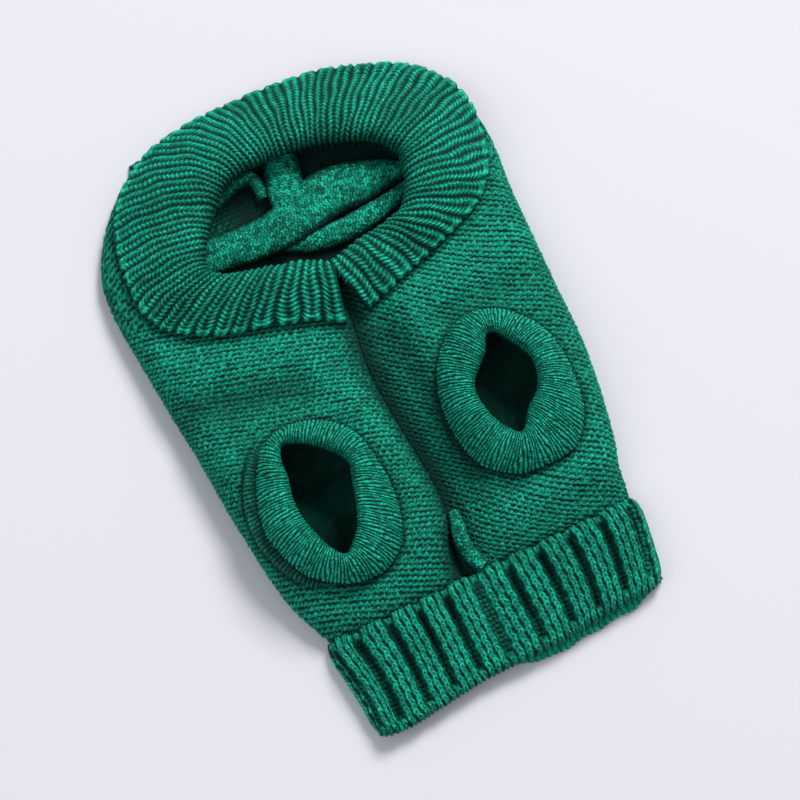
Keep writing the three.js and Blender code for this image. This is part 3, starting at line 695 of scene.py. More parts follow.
# painted shade in the folds' troughs and painted light on their ridges
FOLD_SHADE = 0.11  # change of shade for each millimetre of a fold
SLIT_LEAN = 1.7  # how far the left panel leans over the slit at the seam's lower end
SLIT_MIDDLE = -107.0
SLIT_REACH = 11.0
ROW_TURN = {"left": math.radians(-18), "right": math.radians(-33)}  # turn of the stitch rows
ROW_RISE = 0.9  # slope of the right panel's rows, and how it flattens towards the side
ROW_BEND = 0.0022


def row_coordinates(side, x, y):
    """Stitch and row counts over a belly panel laid flat."""
    turn = ROW_TURN[side]
    across = x * math.cos(turn) + y * math.sin(turn)
    if side == "left":
        up = y * math.cos(turn) - x * math.sin(turn)
    else:
        up = (y + ROW_RISE * x - ROW_BEND * x * x) * math.cos(turn)
    up = up + 0.8 * drift(x, y, 1.3)
    across = across + 0.8 * drift(y, x, 4.1)
    return across / BODY_STITCH, up / BODY_ROW


def belly_grid(side):
    """Base points of a panel, from the side's foot over the top and down into the seam."""
    shown = int((COVERED_FROM - HEM_TOP) / BODY_CELL)
    covered = int((NECK_TOP - COVERED_FROM) / COVERED_CELL)
    y = np.concatenate(
        [
            HEM_TOP - UNDER_HEM * np.array([1, 0.8, 0.6, 0.4, 0.2]),
            np.linspace(HEM_TOP, COVERED_FROM, shown, endpoint=False),
            np.linspace(COVERED_FROM, NECK_TOP, covered),
            NECK_TOP + NECK_ROLL * np.sin(np.radians([18, 36, 54, 72, 90])),
        ]
    )
    row = curve(BODY_COLUMNS, BODY, y, "y")
    edge = row[side]
    is_left = side == "left"
    lip = row["lip_" + side] + is_left * SLIT_LEAN * bell(y - SLIT_MIDDLE, SLIT_REACH)
    mound = row["top_" + side]
    inward = 1 if is_left else -1
    columns = []
    for angle in np.linspace(TUCK_ANGLE, 0, TUCK_STEPS)[:-1]:
        low = math.sin(angle) / math.sin(TUCK_ANGLE)
        columns.append((edge + inward * TUCK * low * low, SIDE_BELLY * mound * (1 - low)))
    for angle in np.linspace(0, math.pi / 2, SIDE_STEPS)[:-1]:
        x = edge + inward * SIDE_RADIUS * (1 - math.cos(angle))
        columns.append((x, body_top(x, y, is_left)))
    for t in np.linspace(0, 1, TOP_STEPS):
        x = mix(edge + inward * SIDE_RADIUS, lip, t)
        columns.append((x, body_top(x, y, is_left)))
    lip_z = columns[-1][1]
    for drop in np.linspace(0, 1, LIP_STEPS)[1:]:
        columns.append((lip + inward * SEAM * (0.6 + drop), lip_z - CLOTH * drop))
    x = np.stack([c[0] for c in columns])
    z = np.stack([c[1] for c in columns])
    past = np.clip((HEM_TOP + HEM_ROLL - y) / (HEM_ROLL + UNDER_HEM), 0, 1)
    z = z * (1 - 0.55 * past**2)
    past = np.clip((y - NECK_TOP) / NECK_ROLL, 0, 1)
    z = z * np.sqrt(1 - past**2)
    return stack(x, np.broadcast_to(y, x.shape), z)


def nearest_on_line(x, y, line_x, line_y):
    """Distance from points to a line given by close-set points, and the share of it passed there."""
    near = np.full(x.shape, 1e9)
    share = np.zeros(x.shape)
    for k, (at_x, at_y) in enumerate(zip(line_x, line_y)):
        square = (x - at_x) ** 2 + (y - at_y) ** 2
        share = np.where(square < near, k / (len(line_x) - 1), share)
        near = np.minimum(near, square)
    return np.sqrt(near), share


def inside_curve(x, y, line_x, line_y):
    """Whether points lie inside a closed line."""
    inside = np.zeros(x.shape, bool)
    for k in range(len(line_x)):
        x1, y1 = line_x[k - 1], line_y[k - 1]
        x2, y2 = line_x[k], line_y[k]
        if y1 == y2:
            continue
        crosses = (y1 > y) != (y2 > y)
        at = (x2 - x1) * (y - y1) / (y2 - y1) + x1
        inside ^= crosses & (x < at)
    return inside


def band_curve(rows, share, closed):
    """A turned-down band's sizes at shares of the way round it."""
    return curve(BAND_COLUMNS, rows, share * (len(rows) - (not closed)), None, closed)


def band_line(rows, closed, edge, widen):
    """A turned-down band's fold ("in") or free edge ("out"), widened, as two arrays."""
    line = band_curve(rows, np.linspace(0, 1, 240, endpoint=not closed), closed)
    away_x, away_y = line["out_x"] - line["in_x"], line["out_y"] - line["in_y"]
    length = np.hypot(away_x, away_y)
    return line[edge + "_x"] + widen * away_x / length, line[edge + "_y"] + widen * away_y / length


def under_turn(x, y):
    """The left cuff's lower turn, where it shows beyond the free edge: rise, stitch height with
    painted shade, where it shows, and painted shade along its outer edge.
    """
    line = curve(POINT_COLUMNS, CUFF_UNDER, np.linspace(0, len(CUFF_UNDER) - 1, 220))
    away, share = nearest_on_line(x, y, line["x"], line["y"])
    round_top = np.sqrt(np.clip(1 - (away / CUFF_UNDER_HALF) ** 2, 0, 1))
    taper = ease(share, 0, 0.18) * (1 - ease(share, 0.8, 1))
    ribs = 0.5 + 0.5 * np.cos(2 * np.pi * CUFF_UNDER_RIBS * share + 0.8 * np.sin(away))
    stitches = ribs * (0.55 + 0.45 * speckle(np.floor(CUFF_UNDER_RIBS * share), np.floor(away), 5))
    there = ease(round_top * taper, 0, 0.3)
    # painted shade: a dark line in the crease just outside the turn
    groove = 1 - 0.6 * bell(away - CUFF_UNDER_HALF - 0.6, 1.6) * taper
    # the turn's stitches are a little darker: painted shade, as it lies low beside the cuff
    return CUFF_UNDER_RISE * round_top * taper, 0.85 * stitches, there, groove


def panel_shade(x, y, z, run, cuff):
    """Painted shade of the seam's valley, the side's foot, what lies by a band's edge and in front of
    the waist band, and painted light and shade on the folds.
    """
    valley = mix(VALLEY_SHADE, 1, ease(run, 1, VALLEY_WIDTH))
    open_part = 1 - ease(y, 20, 60)
    shade = mix(1, valley, mix(0.6, 1, open_part)) * mix(0.7, 1, ease(z, 0, 6))
    # painted shade by the collar's and the cuff's free edges
    for rows, closed, least in ((COLLAR, False, 0.7), (cuff, True, 0.4)):
        line_x, line_y = band_line(rows, closed, "out", 0.0)
        away = nearest_on_line(x, y, line_x[::2], line_y[::2])[0]
        shade = shade * mix(least, 1, ease(away, 0, 4.5))
    # painted shade in front of the waist band
    shade = shade * mix(0.55, 1, ease(y, HEM_TOP, HEM_TOP + 4))
    shade = shade * mix(0.86, 1, ease(y, HEM_TOP, HEM_TOP + 30))
    return shade * np.clip(1 + FOLD_SHADE * fold_height(x, y), 0.55, 1.12)


def belly_panel(side, cuff, seed):
    base = belly_grid(side)
    x, y, z = np.moveaxis(base, -1, 0)
    normal = facing_up(normals(base))
    run = run_length(base, 0)
    run = run[-1:] - run
    c, r = row_coordinates(side, run if side == "right" else -run, y)
    height = purl(c, r, seed)
    near_lip = ease(run, CLOTH, CLOTH + 4)
    relief = BODY_RELIEF * (height - 0.35) * mix(0.3, 1, near_lip)
    shade = panel_shade(x, y, z, run, cuff)
    height = 0.03 + 0.43 * ease(height, 0.12, 0.62) + 0.25 * height
    if side == "left":
        rise, ribs, there, groove = under_turn(x, y)
        # painted shade of the crease outside the lower turn
        shade = shade * groove
        relief = mix(relief, rise + 0.5 * (ribs - 0.4), there)
        height = mix(height, ribs, there)
    relief *= ease(z, 0, 3)
    points = base + normal * relief[..., None]
    points[..., 2] = np.maximum(points[..., 2], 0)
    x, y = x[:-1, :-1], y[:-1, :-1]
    keep = ~inside_curve(x, y, *band_line(COLLAR, False, "in", 2.2))
    keep &= ~inside_curve(x, y, *band_line(cuff, True, "in", 2.0))
    faces = quads(base)[keep]
    pattern = stack(c, r)
    piece = make_mesh(f"belly_{side}_knit", points, faces, body_yarn, pattern, height * shade)
    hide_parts(f"belly_{side}")


# Turned-down bands


def band_points(rows, section, closed, cloth, u, k, wall_depth):
    """Outer points of a turned-down band. k below zero runs down inside the hole."""
    row = {name: value[:, None] for name, value in band_curve(rows, u, closed).items()}
    cut = curve(SECTION_COLUMNS, section, np.maximum(k, 0))
    across = cut["across"]
    x = mix(row["in_x"], row["out_x"], across)
    y = mix(row["in_y"], row["out_y"], across)
    inner = support_top(row["in_x"], row["in_y"])
    outer = support_top(row["out_x"], row["out_y"])
    base = mix(inner, outer, across) + 2 * SEAM
    least = support_top(x, y) + np.where(k < 0.5, 0, cloth) + 2 * SEAM
    z = np.maximum(base + cut["up"] * row["rise"], least)
    z = np.where(k < 0, z + k * wall_depth, z)
    return stack(x, y, z)


def band_steps(rows, closed, count):
    """Places round a band that lie evenly along its middle."""
    rough = np.linspace(0, 1, 900)
    line = band_curve(rows, rough, closed)
    middle = stack(line["in_x"] + line["out_x"], line["in_y"] + line["out_y"])
    return even_places(middle, rough, count + closed)[:count]


# An open end of a band turns down: share of the radius outwards, radii down and its painted shade
END_DROPS = [(0.6, 0.2, 0.9), (0.95, 0.7, 0.75), (0.95, 1.3, 0.5), (0.6, 2.2, 0.3), (0.3, 4.5, 0.1)]
EDGE_ANGLES = np.radians([60, 25, -10, -45, -80])  # points round a free edge
UNDERSIDE = 9.0  # how far the cloth's underside runs in from the free edge
LEAST_Z = 0.4  # bands stay this far over the surface below
CREST = 3  # row of a section table at the crest
PULL_REACH = 4.0  # the scallops of a free edge reach about this far in


def free_edge(base, normal, relief, height, cloth, cell):
    """The free edge, rounded, and the cloth's underside behind it: points and stitch heights with
    painted shade.
    """
    edge, edge_normal = base[:, -1], normal[:, -1]
    ahead = unit(edge - base[:, -3])
    swell = 1 + 0.35 * relief[:, -1:] / cloth
    strips, heights = [], []
    for angle in EDGE_ANGLES:
        around = edge_normal * (math.sin(angle) - 1) + ahead * math.cos(angle)
        bulge = edge_normal * relief[:, -1:] * max(0, math.sin(angle))
        strips.append((edge + 0.5 * cloth * around * swell + bulge)[:, None])
        # painted shade as the edge turns down
        heights.append(height[:, -1:] * 0.8)
    behind = slice(-2, -int(UNDERSIDE / cell), -3)
    strips.append(base[:, behind] - cloth * normal[:, behind])
    # painted shade on the underside
    heights.append(np.full(strips[-1].shape[:2], 0.2))
    return strips, heights


def rounded_ends(points, height, radius):
    """Adds the cloth's thickness at both open ends of a band, darkened with painted shade as it turns
    down.
    """
    rows, shades = [points], [height]
    for first, second in ((0, 1), (-1, -2)):
        out = unit(points[first] - points[second])
        for ahead, down, shade in END_DROPS:
            line = points[first] + radius * (ahead * out - down * Z_AXIS)
            line[:, 2] = np.maximum(line[:, 2], LEAST_Z)
            at = 0 if first == 0 else len(rows)
            rows.insert(at, line[None])
            shades.insert(at, height[first][None] * shade)
    return np.concatenate(rows, 0), np.concatenate(shades, 0)


def turned_band(name, rows, section, closed, cloth, steps, cell, wall_depth, pattern_at, material):
    """A dense band surface: inner wall, fold, outer face, rounded free edge and underside."""
    rough = np.linspace(-1, len(section) - 1, 400)
    middle = band_points(rows, section, closed, cloth, np.array([0.3]), rough, wall_depth)[0]
    k = even_places(middle, rough, int(run_length(middle, 0)[-1] / cell))
    share = np.linspace(0, 1, steps, endpoint=not closed)[:, None]
    u = band_steps(rows, closed, steps)
    base = band_points(rows, section, closed, cloth, u, k, wall_depth)
    crest = int(np.argmin(np.abs(k - CREST)))
    normal = normals(base, closed)
    normal = normal if np.mean(normal[:, crest, 2]) > 0 else -normal
    run = run_length(base, 1)
    from_edge = run[:, -1:] - run
    height, relief, pull = pattern_at(share, run, from_edge)
    forward = unit(np.gradient(base, axis=1))
    base = base - forward * (pull * bell(from_edge, PULL_REACH))[..., None]
    inner_run = run[:, crest : crest + 1]
    # painted shade: the inner wall darkens down into the hole
    height = height * mix(0.08, 1, ease(run, 0.25 * inner_run, inner_run))
    strips, heights = free_edge(base, normal, relief, height, cloth, cell)
    points = np.concatenate([base + normal * relief[..., None], *strips], 1)
    points[..., 2] = np.maximum(points[..., 2], LEAST_Z)
    height = np.concatenate([height, *heights], 1)
    if not closed:
        points, height = rounded_ends(points, height, cloth / 2)
        share = np.pad(share[:, 0], len(END_DROPS), "edge")[:, None]
    run = run_length(points, 1)
    pattern = stack(share * steps / 12 + 0 * run, run / RIB_ROW)
    return make_mesh(name, points, quads(points, closed), material, pattern, height)


def collar_pattern(u, run, from_edge):
    """Two-by-two rib: two rails for each rib, with a laddered trough and a thin gap."""
    share = run / run[:, -1:]
    lean = COLLAR_LEAN * bell(u - 0.67, 0.12) * share**2
    phase = (u - lean - 0.02 * np.sin(2 * np.pi * u)) * COLLAR_RIBS
    # the ribs wander a little, and some are wider than others
    phase = phase + 0.11 * np.sin(run / 14 + 19 * u) + 0.05 * np.sin(run / 4.3 + 97 * u)
    phase = phase + 0.14 * np.sin(23 * u) + 0.06 * np.sin(71 * u)
    rib = np.floor(phase)
    p = phase - rib
    row = run / RIB_ROW + speckle(rib, 0, 2)
    sway = 0.03 * np.sin(2 * np.pi * row) + 0.02 * np.sin(0.9 * row + 5 * rib)
    rails = np.maximum(bell(p - 0.25 - sway, RAIL_HALF), bell(p - 0.75 + sway, RAIL_HALF))
    slant = np.where(p < 0.5, p - 0.25, 0.75 - p)
    strokes = ripple(row - 1.9 * slant)
    strokes = strokes * (0.45 + 0.55 * speckle(rib + 0.5 * (p > 0.5), np.floor(row), 4))
    trough = np.clip(1 - rails, 0, 1) * bell(p - 0.5, 0.22)
    ladder = ripple(row + 0.5 + 0.5 * (p - 0.5)) ** 2 * trough
    ladder = ladder * (0.3 + 0.7 * speckle(rib, np.floor(row + 0.5), 9))
    tip = bell(from_edge - 1.5, 1.2) * ease(p, 0.1, 0.22) * (1 - ease(p, 0.78, 0.9))
    high = 0.7 + 0.55 * speckle(rib, 0, 6)
    relief = high * (1.9 * rails * (0.6 + 0.4 * strokes) + 0.7 * ladder) + 0.9 * tip - 0.6
    relief = relief * mix(0.55, 1, ease(from_edge, 0, 3))
    height = 0.05 + rails * (0.38 + 0.62 * strokes) + 0.36 * ladder + 0.35 * tip
    pull = 1.6 * (bell(p, 0.13) + bell(p - 1, 0.13)) + 0.5 * speckle(rib, 0, 8)
    return np.clip(height * mix(0.86, 1.08, speckle(rib, 0, 13)), 0, 1), relief, pull


def cuff_pattern(u, run, from_edge):
    """One-by-one rib in finer yarn, a little uneven, with small Vs along its ridges."""
    phase = u * CUFF_RIBS + 0.27 * np.sin(run / 6 + 17 * 2 * np.pi * u)
    phase = phase + 0.09 * np.sin(run / 2.3 + 41 * 2 * np.pi * u)
    ridge = 1 - ripple(phase) ** 2
    grain = chevrons(phase + 0.5, run / CUFF_ROW, seed=3, uneven=0.68)
    crest = bell(run - 15.5, 7)
    relief = 0.7 * ridge * mix(1, 0.5, crest) + 0.55 * grain - 0.6
    relief = relief + 0.35 * np.sin(2 * np.pi * 5 * u + run / 9) * ease(run, 15, 25)
    height = 0.03 + 1.15 * mix(0.12 + 0.88 * ridge, 0.5 + 0.5 * ridge, crest) * (0.12 + 0.88 * grain)
    return np.clip(height, 0, 1), relief, 0.25 * np.cos(2 * np.pi * phase)


def collar():
    piece = turned_band(
        "collar_knit",
        rows=[COLLAR_TUCKED] + COLLAR,
        section=COLLAR_SECTION,
        closed=False,
        cloth=RIB_CLOTH,
        steps=COLLAR_RIBS * 16 + 1,
        cell=0.72,
        wall_depth=13.0,
        pattern_at=collar_pattern,
        material=rib_yarn,
    )
    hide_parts("collar")


def leg_cuff(side, rows):
    piece = turned_band(
        f"leg_cuff_{side}_knit",
        rows=rows,
        section=CUFF_SECTION,
        closed=True,
        cloth=CUFF_CLOTH,
        steps=CUFF_RIBS * 6,
        cell=0.58,
        wall_depth=12.0,
        pattern_at=cuff_pattern,
        material=cuff_yarn,
    )
    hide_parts(f"leg_cuff_{side}")


# Waist band


def hem_surface(share, along):
    row = curve(HEM_COLUMNS, HEM, along, "along")
    x = mix(row["left"], row["right"], share)
    edge = curve(POINT_COLUMNS, HEM_EDGE, x, "x")["y"]
    y = mix(HEM_TOP - SEAM, edge, along)
    from_side = np.minimum(x - row["left"], row["right"] - x)
    widest = 0.3 * row["height"]
    z = widest + (row["height"] - widest) * quarter_round(from_side / HEM_SIDE)
    return stack(x, y, z)


def hem_depth(x):
    """Depth of the band's grooves at a place across it."""
    total = np.zeros_like(x)
    for groove_x, width, depth in HEM_GROOVES:
        away = np.clip(np.abs(x - groove_x) / (width / 2), 0, 1)
        total += depth * ripple(away / 2)
    return total


def hem_wales(x):
    """Stitch columns across the band: three on each rib, and one place for the groove."""
    centres = [row[0] for row in HEM_GROOVES]
    inner = np.interp(x, centres, WALES * np.arange(len(centres)) + 0.5)
    past = np.minimum(x - centres[0], 0) + np.maximum(x - centres[-1], 0)
    return inner + past / SIDE_WALE


def hem_knit(x, run, from_edge, along, groove):
    """Relief and stitch heights of the waist band's upper layer, with painted shade in the grooves and
    along its top edge.
    """
    wale = hem_wales(x)
    ends = ease(run, 2, 6.5) * ease(from_edge, 2, 5)
    r = run / RIB_ROW
    face = knit(wale + 0.08 * np.sin(2.1 * r + 1.7 * np.floor(wale)), r, seed=11, uneven=0.42)
    stitches = mix(face, purl(wale * 1.9, r, seed=12), ease(groove, 0.35, 0.7) * ends)
    cord = 0.7 + 0.3 * np.cos(2 * np.pi * (x / HEM_CORD + 0.4 * from_edge))
    cord = cord * bell(from_edge - 1.5, 1.2)
    crown = 1.3 * np.clip(1 - groove, 0, 1) ** 0.5 * ease(run, 0, 3)
    relief = HEM_RIB_HEIGHT - 1.75 * hem_depth(x) * ends + crown
    relief = relief + 1.6 * (stitches - 0.45) + 0.8 * cord + 0.3 * drift(x, 5 * run, 2.2)
    # painted shade in the grooves, less dark further down the band
    groove_shade = mix(0.14, 0.42, ease(along, 0.1, 0.75)) + 0.1 * np.sin(0.11 * x + run / 7)
    shade = mix(1, groove_shade, ease(groove, 0.3, 0.85) * ends)
    # painted shade along the band's top edge, where it meets the body
    return relief, (0.05 + stitches) * shade * mix(0.55, 1, ease(run, 0, 2.5))


def hem_rim(edge, x):
    """Lines of points round the band's free edge, down to its lower layer."""
    low = HEM_BACK + 0.6
    wave = 0.5 * np.cos(2 * np.pi * x / HEM_CORD)
    rims = []
    for angle in np.radians([70, 40, 10, -20, -50]):
        rim = edge.copy()
        rim[:, 1] -= (HEM_RIM + wave) * math.cos(angle)
        rim[:, 2] = (edge[:, 2] + low) / 2 + (edge[:, 2] - low) / 2 * math.sin(angle)
        rims.append(rim[:, None])
    return rims


def hem_side(column, inward):
    """Two lines of points that bring a rounded side down to the surface below."""
    foot = column * [1, 1, 0] + [1.2 * inward, 0, 0]
    half = (column + foot) / 2
    half[:, 0] = column[:, 0] + 0.1 * inward
    return [half[None], foot[None]]


def hem_front():
    middle = curve(HEM_COLUMNS, HEM, np.array([0.5]), "along")
    share = np.linspace(0, 1, 400)[:, None]
    share = share - 0.022 * np.sin(2 * np.pi * share)  # closer steps on the rounded sides
    along = np.linspace(0, 1, 110)
    base = hem_surface(share, along)
    run = run_length(base, 1)
    from_edge = run[:, -1:] - run
    x = mix(middle["left"], middle["right"], share)
    x = x + 0.8 * np.sin(run / 13 + 0.05 * x)
    groove = np.clip(hem_depth(x) / 2.0, 0, 1)
    relief, height = hem_knit(x, run, from_edge, along, groove)
    relief = relief * mix(0.2, 1, ease(np.minimum(share, 1 - share), 0, 0.03))
    points = base + facing_up(normals(base)) * relief[..., None]
    # rounded rib tops reach over the body, and the grooves' tops stay behind them
    points[..., 1] += bell(run, 5) * (HEM_OVER - 1.7 * groove)
    points[..., 2] -= 5.0 * (1 - quarter_round(run / 3.2))
    # the rounded free edge and sides
    rims = hem_rim(points[:, -1], x[:, -1])
    points = np.concatenate([points, *rims], 1)
    # painted shade on the rounded free edge as it turns down
    height = np.concatenate([height] + [height[:, -1:] * 0.8] * len(rims), 1)
    left, right = hem_side(points[0], 1), hem_side(points[-1], -1)
    points = np.concatenate([*left[::-1], points, *right], 0)
    height = np.pad(height, ((2, 2), (0, 0)), "edge")
    points[..., 2] = np.maximum(points[..., 2], 0)
    pattern = stack(run_length(points, 0) / RIB_STITCH, run_length(points, 1) / RIB_ROW)
    piece = make_mesh("hem_front_knit", points, quads(points), rib_yarn, pattern, height)
    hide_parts("hem_front")


# Lower layers


def closed_plate(name, top, under, material, pattern, height):
    """A thin closed piece from its upper and lower faces, two grids of one size."""
    count = height.size
    faces = quads(top).reshape(-1, 4)
    index = np.arange(count).reshape(height.shape)
    all_faces = [faces, faces[:, ::-1] + count]
    for line in (index[0], index[-1, ::-1], index[::-1, 0], index[:, -1]):
        all_faces.append(stack(line[:-1], line[1:], line[1:] + count, line[:-1] + count))
    points = np.concatenate([top.reshape(-1, 3), under.reshape(-1, 3)])
    pattern = np.concatenate([pattern.reshape(-1, 2)] * 2)
    height = np.concatenate([height.ravel(), np.full(count, 0.5)])
    return make_mesh(name, points, np.concatenate(all_faces), material, pattern, height)


def back_panel():
    inset = TUCK + CLOTH + SEAM + 0.8
    y = np.linspace(HEM_TOP, NECK_TOP, 60)[:, None]
    row = curve(BODY_COLUMNS, BODY, y, "y")
    x = mix(row["left"] + inset, row["right"] - inset, np.linspace(0, 1, 50))
    y = y + 0 * x
    round_side = quarter_round(np.minimum(x - x[:, :1], x[:, -1:] - x) / 1.5)
    c, r = x / BODY_STITCH, y / BODY_ROW
    # painted shade: the back panel lies inside the sweater, so its stitches stay dark
    height = 0.1 + 0.2 * purl(c, r, seed=21)
    under = stack(x, y, CLOTH / 2 * (1 - round_side))
    top = stack(x, y, CLOTH / 2 * (1 + round_side) - 0.1)
    piece = closed_plate("back_panel_knit", top, under, body_yarn, stack(c, r), height)
    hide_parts("back_panel")


NECK_HALF = 72.0  # half the width of what shows of the back panel through the neck
NECK_LOW = 62.0
NECK_HIGH = 136.0


def inside_face():
    """The part of the back panel's inner face that shows through the neck, in relief and with painted
    shade.
    """
    x = np.linspace(-NECK_HALF, NECK_HALF, 190)
    x, y = np.meshgrid(x, np.linspace(NECK_LOW, NECK_HIGH, 98), indexing="ij")
    c, r = x / BODY_STITCH, y / BODY_ROW
    height = purl(c, r, seed=21)
    z = CLOTH - 0.25 + (0.25 + 0.45 * height) * ease(NECK_HALF - np.abs(x), 0, 4)
    points = stack(x, y, z)
    # painted shade: dark inside the neck, a little lighter towards the left
    height = height * mix(0.1, 0.45, ease(-x, 20, 42))
    pattern = stack(c, r)
    piece = make_mesh("back_panel_inside", points, quads(points), body_yarn, pattern, height)


def hem_back():
    inset = 5.6
    share = np.linspace(0, 1, 200)[:, None]
    along = np.linspace(0, 1, 40)
    row = curve(HEM_COLUMNS, HEM, along, "along")
    x = mix(row["left"] + inset, row["right"] - inset, share)
    shows = ease(share, 0.42, 0.6) * (1 - 0.5 * ease(share, 0.9, 1))
    edge = curve(POINT_COLUMNS, HEM_EDGE, x, "x")["y"] - mix(0.8, 6.3, shows)
    edge = edge - (0.5 * np.sin(x / 3.1) + 0.5 * np.sin(2 * np.pi * x / RIB_STITCH)) * shows
    y = mix(HEM_TOP - SEAM, edge, along)
    round_end = quarter_round((y - edge) / 1.6)
    c, r = x / RIB_STITCH, (HEM_TOP - y) / RIB_ROW
    stitches = knit(c, r, seed=15)
    top = stack(x, y, HEM_BACK / 2 * (1 + round_end) - 0.6 + 0.9 * stitches)
    under = stack(x, y, HEM_BACK / 2 * (1 - round_end))
    height = 0.35 + 0.65 * stitches
    piece = closed_plate("hem_back_knit", top, under, rib_yarn, stack(c, r), height)
    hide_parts("hem_back")


# Strands of the cable, and the rolled end of the seam

STRAND_STEP = 0.55
STRAND_AROUND = 72  # points across a strand's section


def path_of(line):
    return stack(line["x"], line["y"], 0 * line["x"])


def cable_floor(x, y):
    return CLOTH + SEAM


def roll_floor(x, y):
    return body_top(x, y, False) + 2 * SEAM


def closed_tube(grid):
    """A grid whose first column comes again at its end."""
    return np.concatenate([grid, grid[:, :1]], 1)


def strand(name, rows, floor_at, stitch_size, seed, material, puff, slim=1.0, lift=0.0):
    """A soft strand along a table's places; `lift` raises its last part. Its sides and underside get
    painted shade.
    """
    rough = np.linspace(0, len(rows) - 1, 300)
    path = path_of(curve(STRAND_COLUMNS, rows, rough))
    at = even_places(path, rough, int(run_length(path, 0)[-1] / STRAND_STEP))
    line = curve(STRAND_COLUMNS, rows, at)
    path = path_of(line)
    tangent = unit(np.gradient(path, axis=0))
    section = np.linspace(0, len(STRAND_SECTION) - 1, STRAND_AROUND)
    cut = curve(SECTION_COLUMNS, STRAND_SECTION, section)
    reach = cut["across"] * line["width"][:, None] * slim
    x = line["x"][:, None] - tangent[:, 1:2] * reach
    y = line["y"][:, None] + tangent[:, :1] * reach
    raised = lift * ease(np.linspace(0, 1, len(at)), 0.35, 0.8)[:, None]
    up = cut["up"] + 0 * x
    z = floor_at(x, y) + line["z"][:, None] + raised + up * (line["thick"][:, None] + puff)
    base = stack(x, y, z)
    around = run_length(base, 1)
    middle = STRAND_AROUND // 2
    c = (around - around[:, middle : middle + 1]) / stitch_size[0]
    r = run_length(path, 0)[:, None] / stitch_size[1] + 0 * c
    height = chevrons(c, r, seed, uneven=0.55)
    relief = (height - 0.3) * ease(up, 0.05, 0.4)
    points = base + facing_up(normals(base)) * relief[..., None]
    # painted shade on the strand's sides and underside, left out at the crossing
    crossing = bell(np.hypot(x - CROSSING[0], y - CROSSING[1]), CROSSING[2])
    shade = mix(mix(0.04, 1, ease(up, 0.3, 0.95)), 1, crossing)
    height = np.clip(1.15 * height - 0.14, 0, 1) * shade
    # both ends and the underside are closed
    ends = [np.repeat(points[k].mean(0)[None, None], STRAND_AROUND, 1) for k in (0, -1)]
    points = closed_tube(np.concatenate([ends[0], points, ends[1]], 0))
    height = closed_tube(np.pad(height, ((1, 1), (0, 0)), "edge"))
    pattern = closed_tube(np.pad(stack(c, r), ((1, 1), (0, 0), (0, 0)), "edge"))
    piece = make_mesh(name + "_knit", points, quads(points), material, pattern, height)
    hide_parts(name)
    return piece


belly_panel("left", CUFF_LEFT, seed=3)
belly_panel("right", CUFF_RIGHT, seed=8)
back_panel()
inside_face()
collar()
leg_cuff("left", CUFF_LEFT)
leg_cuff("right", CUFF_RIGHT)
hem_front()
hem_back()
for seed, (strand_name, strand_rows) in enumerate(STRANDS.items()):
    strand_lift = CROSSING_LIFT if strand_name == "cable_strand_top" else 0.0
    strand_piece = strand(
        strand_name, strand_rows, cable_floor, CABLE_KNIT, seed, cable_yarn, puff=2.4, lift=strand_lift
    )
roll = strand("seam_roll", SEAM_ROLL, roll_floor, ROLL_KNIT, 9, body_yarn, puff=1.4, slim=0.98)


# Table, light and camera

# Directions: right in the picture, ahead over the table, and the camera's view
RIGHT = np.array([math.cos(CAMERA_TURN), -math.sin(CAMERA_TURN), 0])
AHEAD = np.array([math.sin(CAMERA_TURN), math.cos(CAMERA_TURN), 0])
FORWARD = AHEAD * math.cos(CAMERA_ELEVATION) - Z_AXIS * math.sin(CAMERA_ELEVATION)
UP = np.cross(RIGHT, FORWARD)
target = (CAMERA_TARGET + ORIGIN) * MM


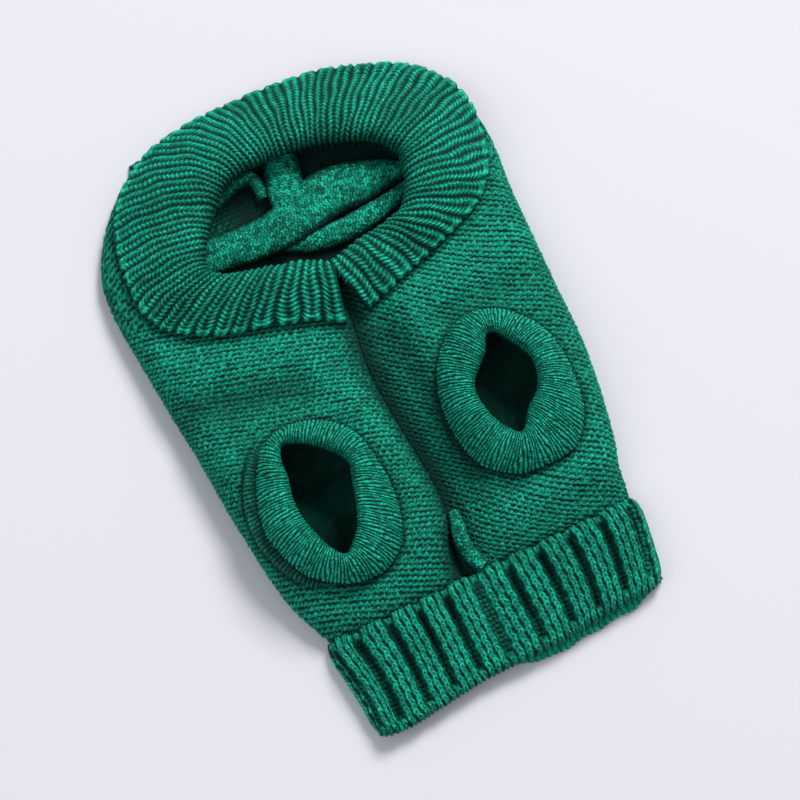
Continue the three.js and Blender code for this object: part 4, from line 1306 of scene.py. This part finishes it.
def place(obj, location, right, up, back):
    """Puts an object at a location, with its own axes along the three that are given."""
    rows = np.stack([right, up, back, location], 1)
    obj.matrix_world = Matrix([*rows.tolist(), [0, 0, 0, 1]])


camera_data = bpy.data.cameras.new("camera")
camera = add_object("camera", camera_data)
camera_data.sensor_width = SENSOR
camera_data.lens = SENSOR * PIXELS_PER_MM * CAMERA_DISTANCE / FRAME_PIXELS
place(camera, target - FORWARD * CAMERA_DISTANCE * MM, RIGHT, UP, -FORWARD)
bpy.context.scene.camera = camera


TABLE_COLOUR = (0.77, 0.762, 0.815, 1)
TABLE_REACH = 6.0
TABLE_GAP = 0.0002  # the table lies this far under the sweater


def floor_material():
    material = bpy.data.materials.new("pale_table")
    material.use_nodes = True
    shader = material.node_tree.nodes["Principled BSDF"]
    set_inputs(shader, {"Base Color": TABLE_COLOUR, "Roughness": 0.9, "Specular IOR Level": 0.1})
    return material


corners = [(-1, -1), (1, -1), (1, 1), (-1, 1)]
floor_mesh = bpy.data.meshes.new("table")
floor_mesh.from_pydata([(TABLE_REACH * x, TABLE_REACH * y, 0) for x, y in corners], [], [(0, 1, 2, 3)])
floor_mesh.materials.append(floor_material())
floor = add_object("table", floor_mesh)
floor.location.z = -TABLE_GAP


def area_light(name, direction, distance, size, power, colour):
    """A square light that looks at the sweater from a direction in the picture's axes."""
    away = unit(np.array(direction) @ [RIGHT, AHEAD, Z_AXIS])
    data = bpy.data.lights.new(name, "AREA")
    data.shape = "SQUARE"
    data.size = size
    data.energy = power
    data.color = colour
    right = unit(np.cross(Z_AXIS, away))
    place(add_object(name, data), target + away * distance, right, np.cross(away, right), away)


area_light("key", (0.45, 0.9, 1.0), distance=4.2, size=1.4, power=158, colour=(1.0, 0.99, 0.98))
area_light("fill", (-0.7, -0.5, 1.0), distance=2.4, size=1.8, power=11, colour=(0.95, 0.97, 1.0))

world = bpy.data.worlds.new("studio")
world.use_nodes = True
background = world.node_tree.nodes["Background"]
set_inputs(background, {"Color": (0.90, 0.93, 1.0, 1), "Strength": 0.38})
bpy.context.scene.world = world
bpy.context.scene.view_settings.view_transform = "Standard"
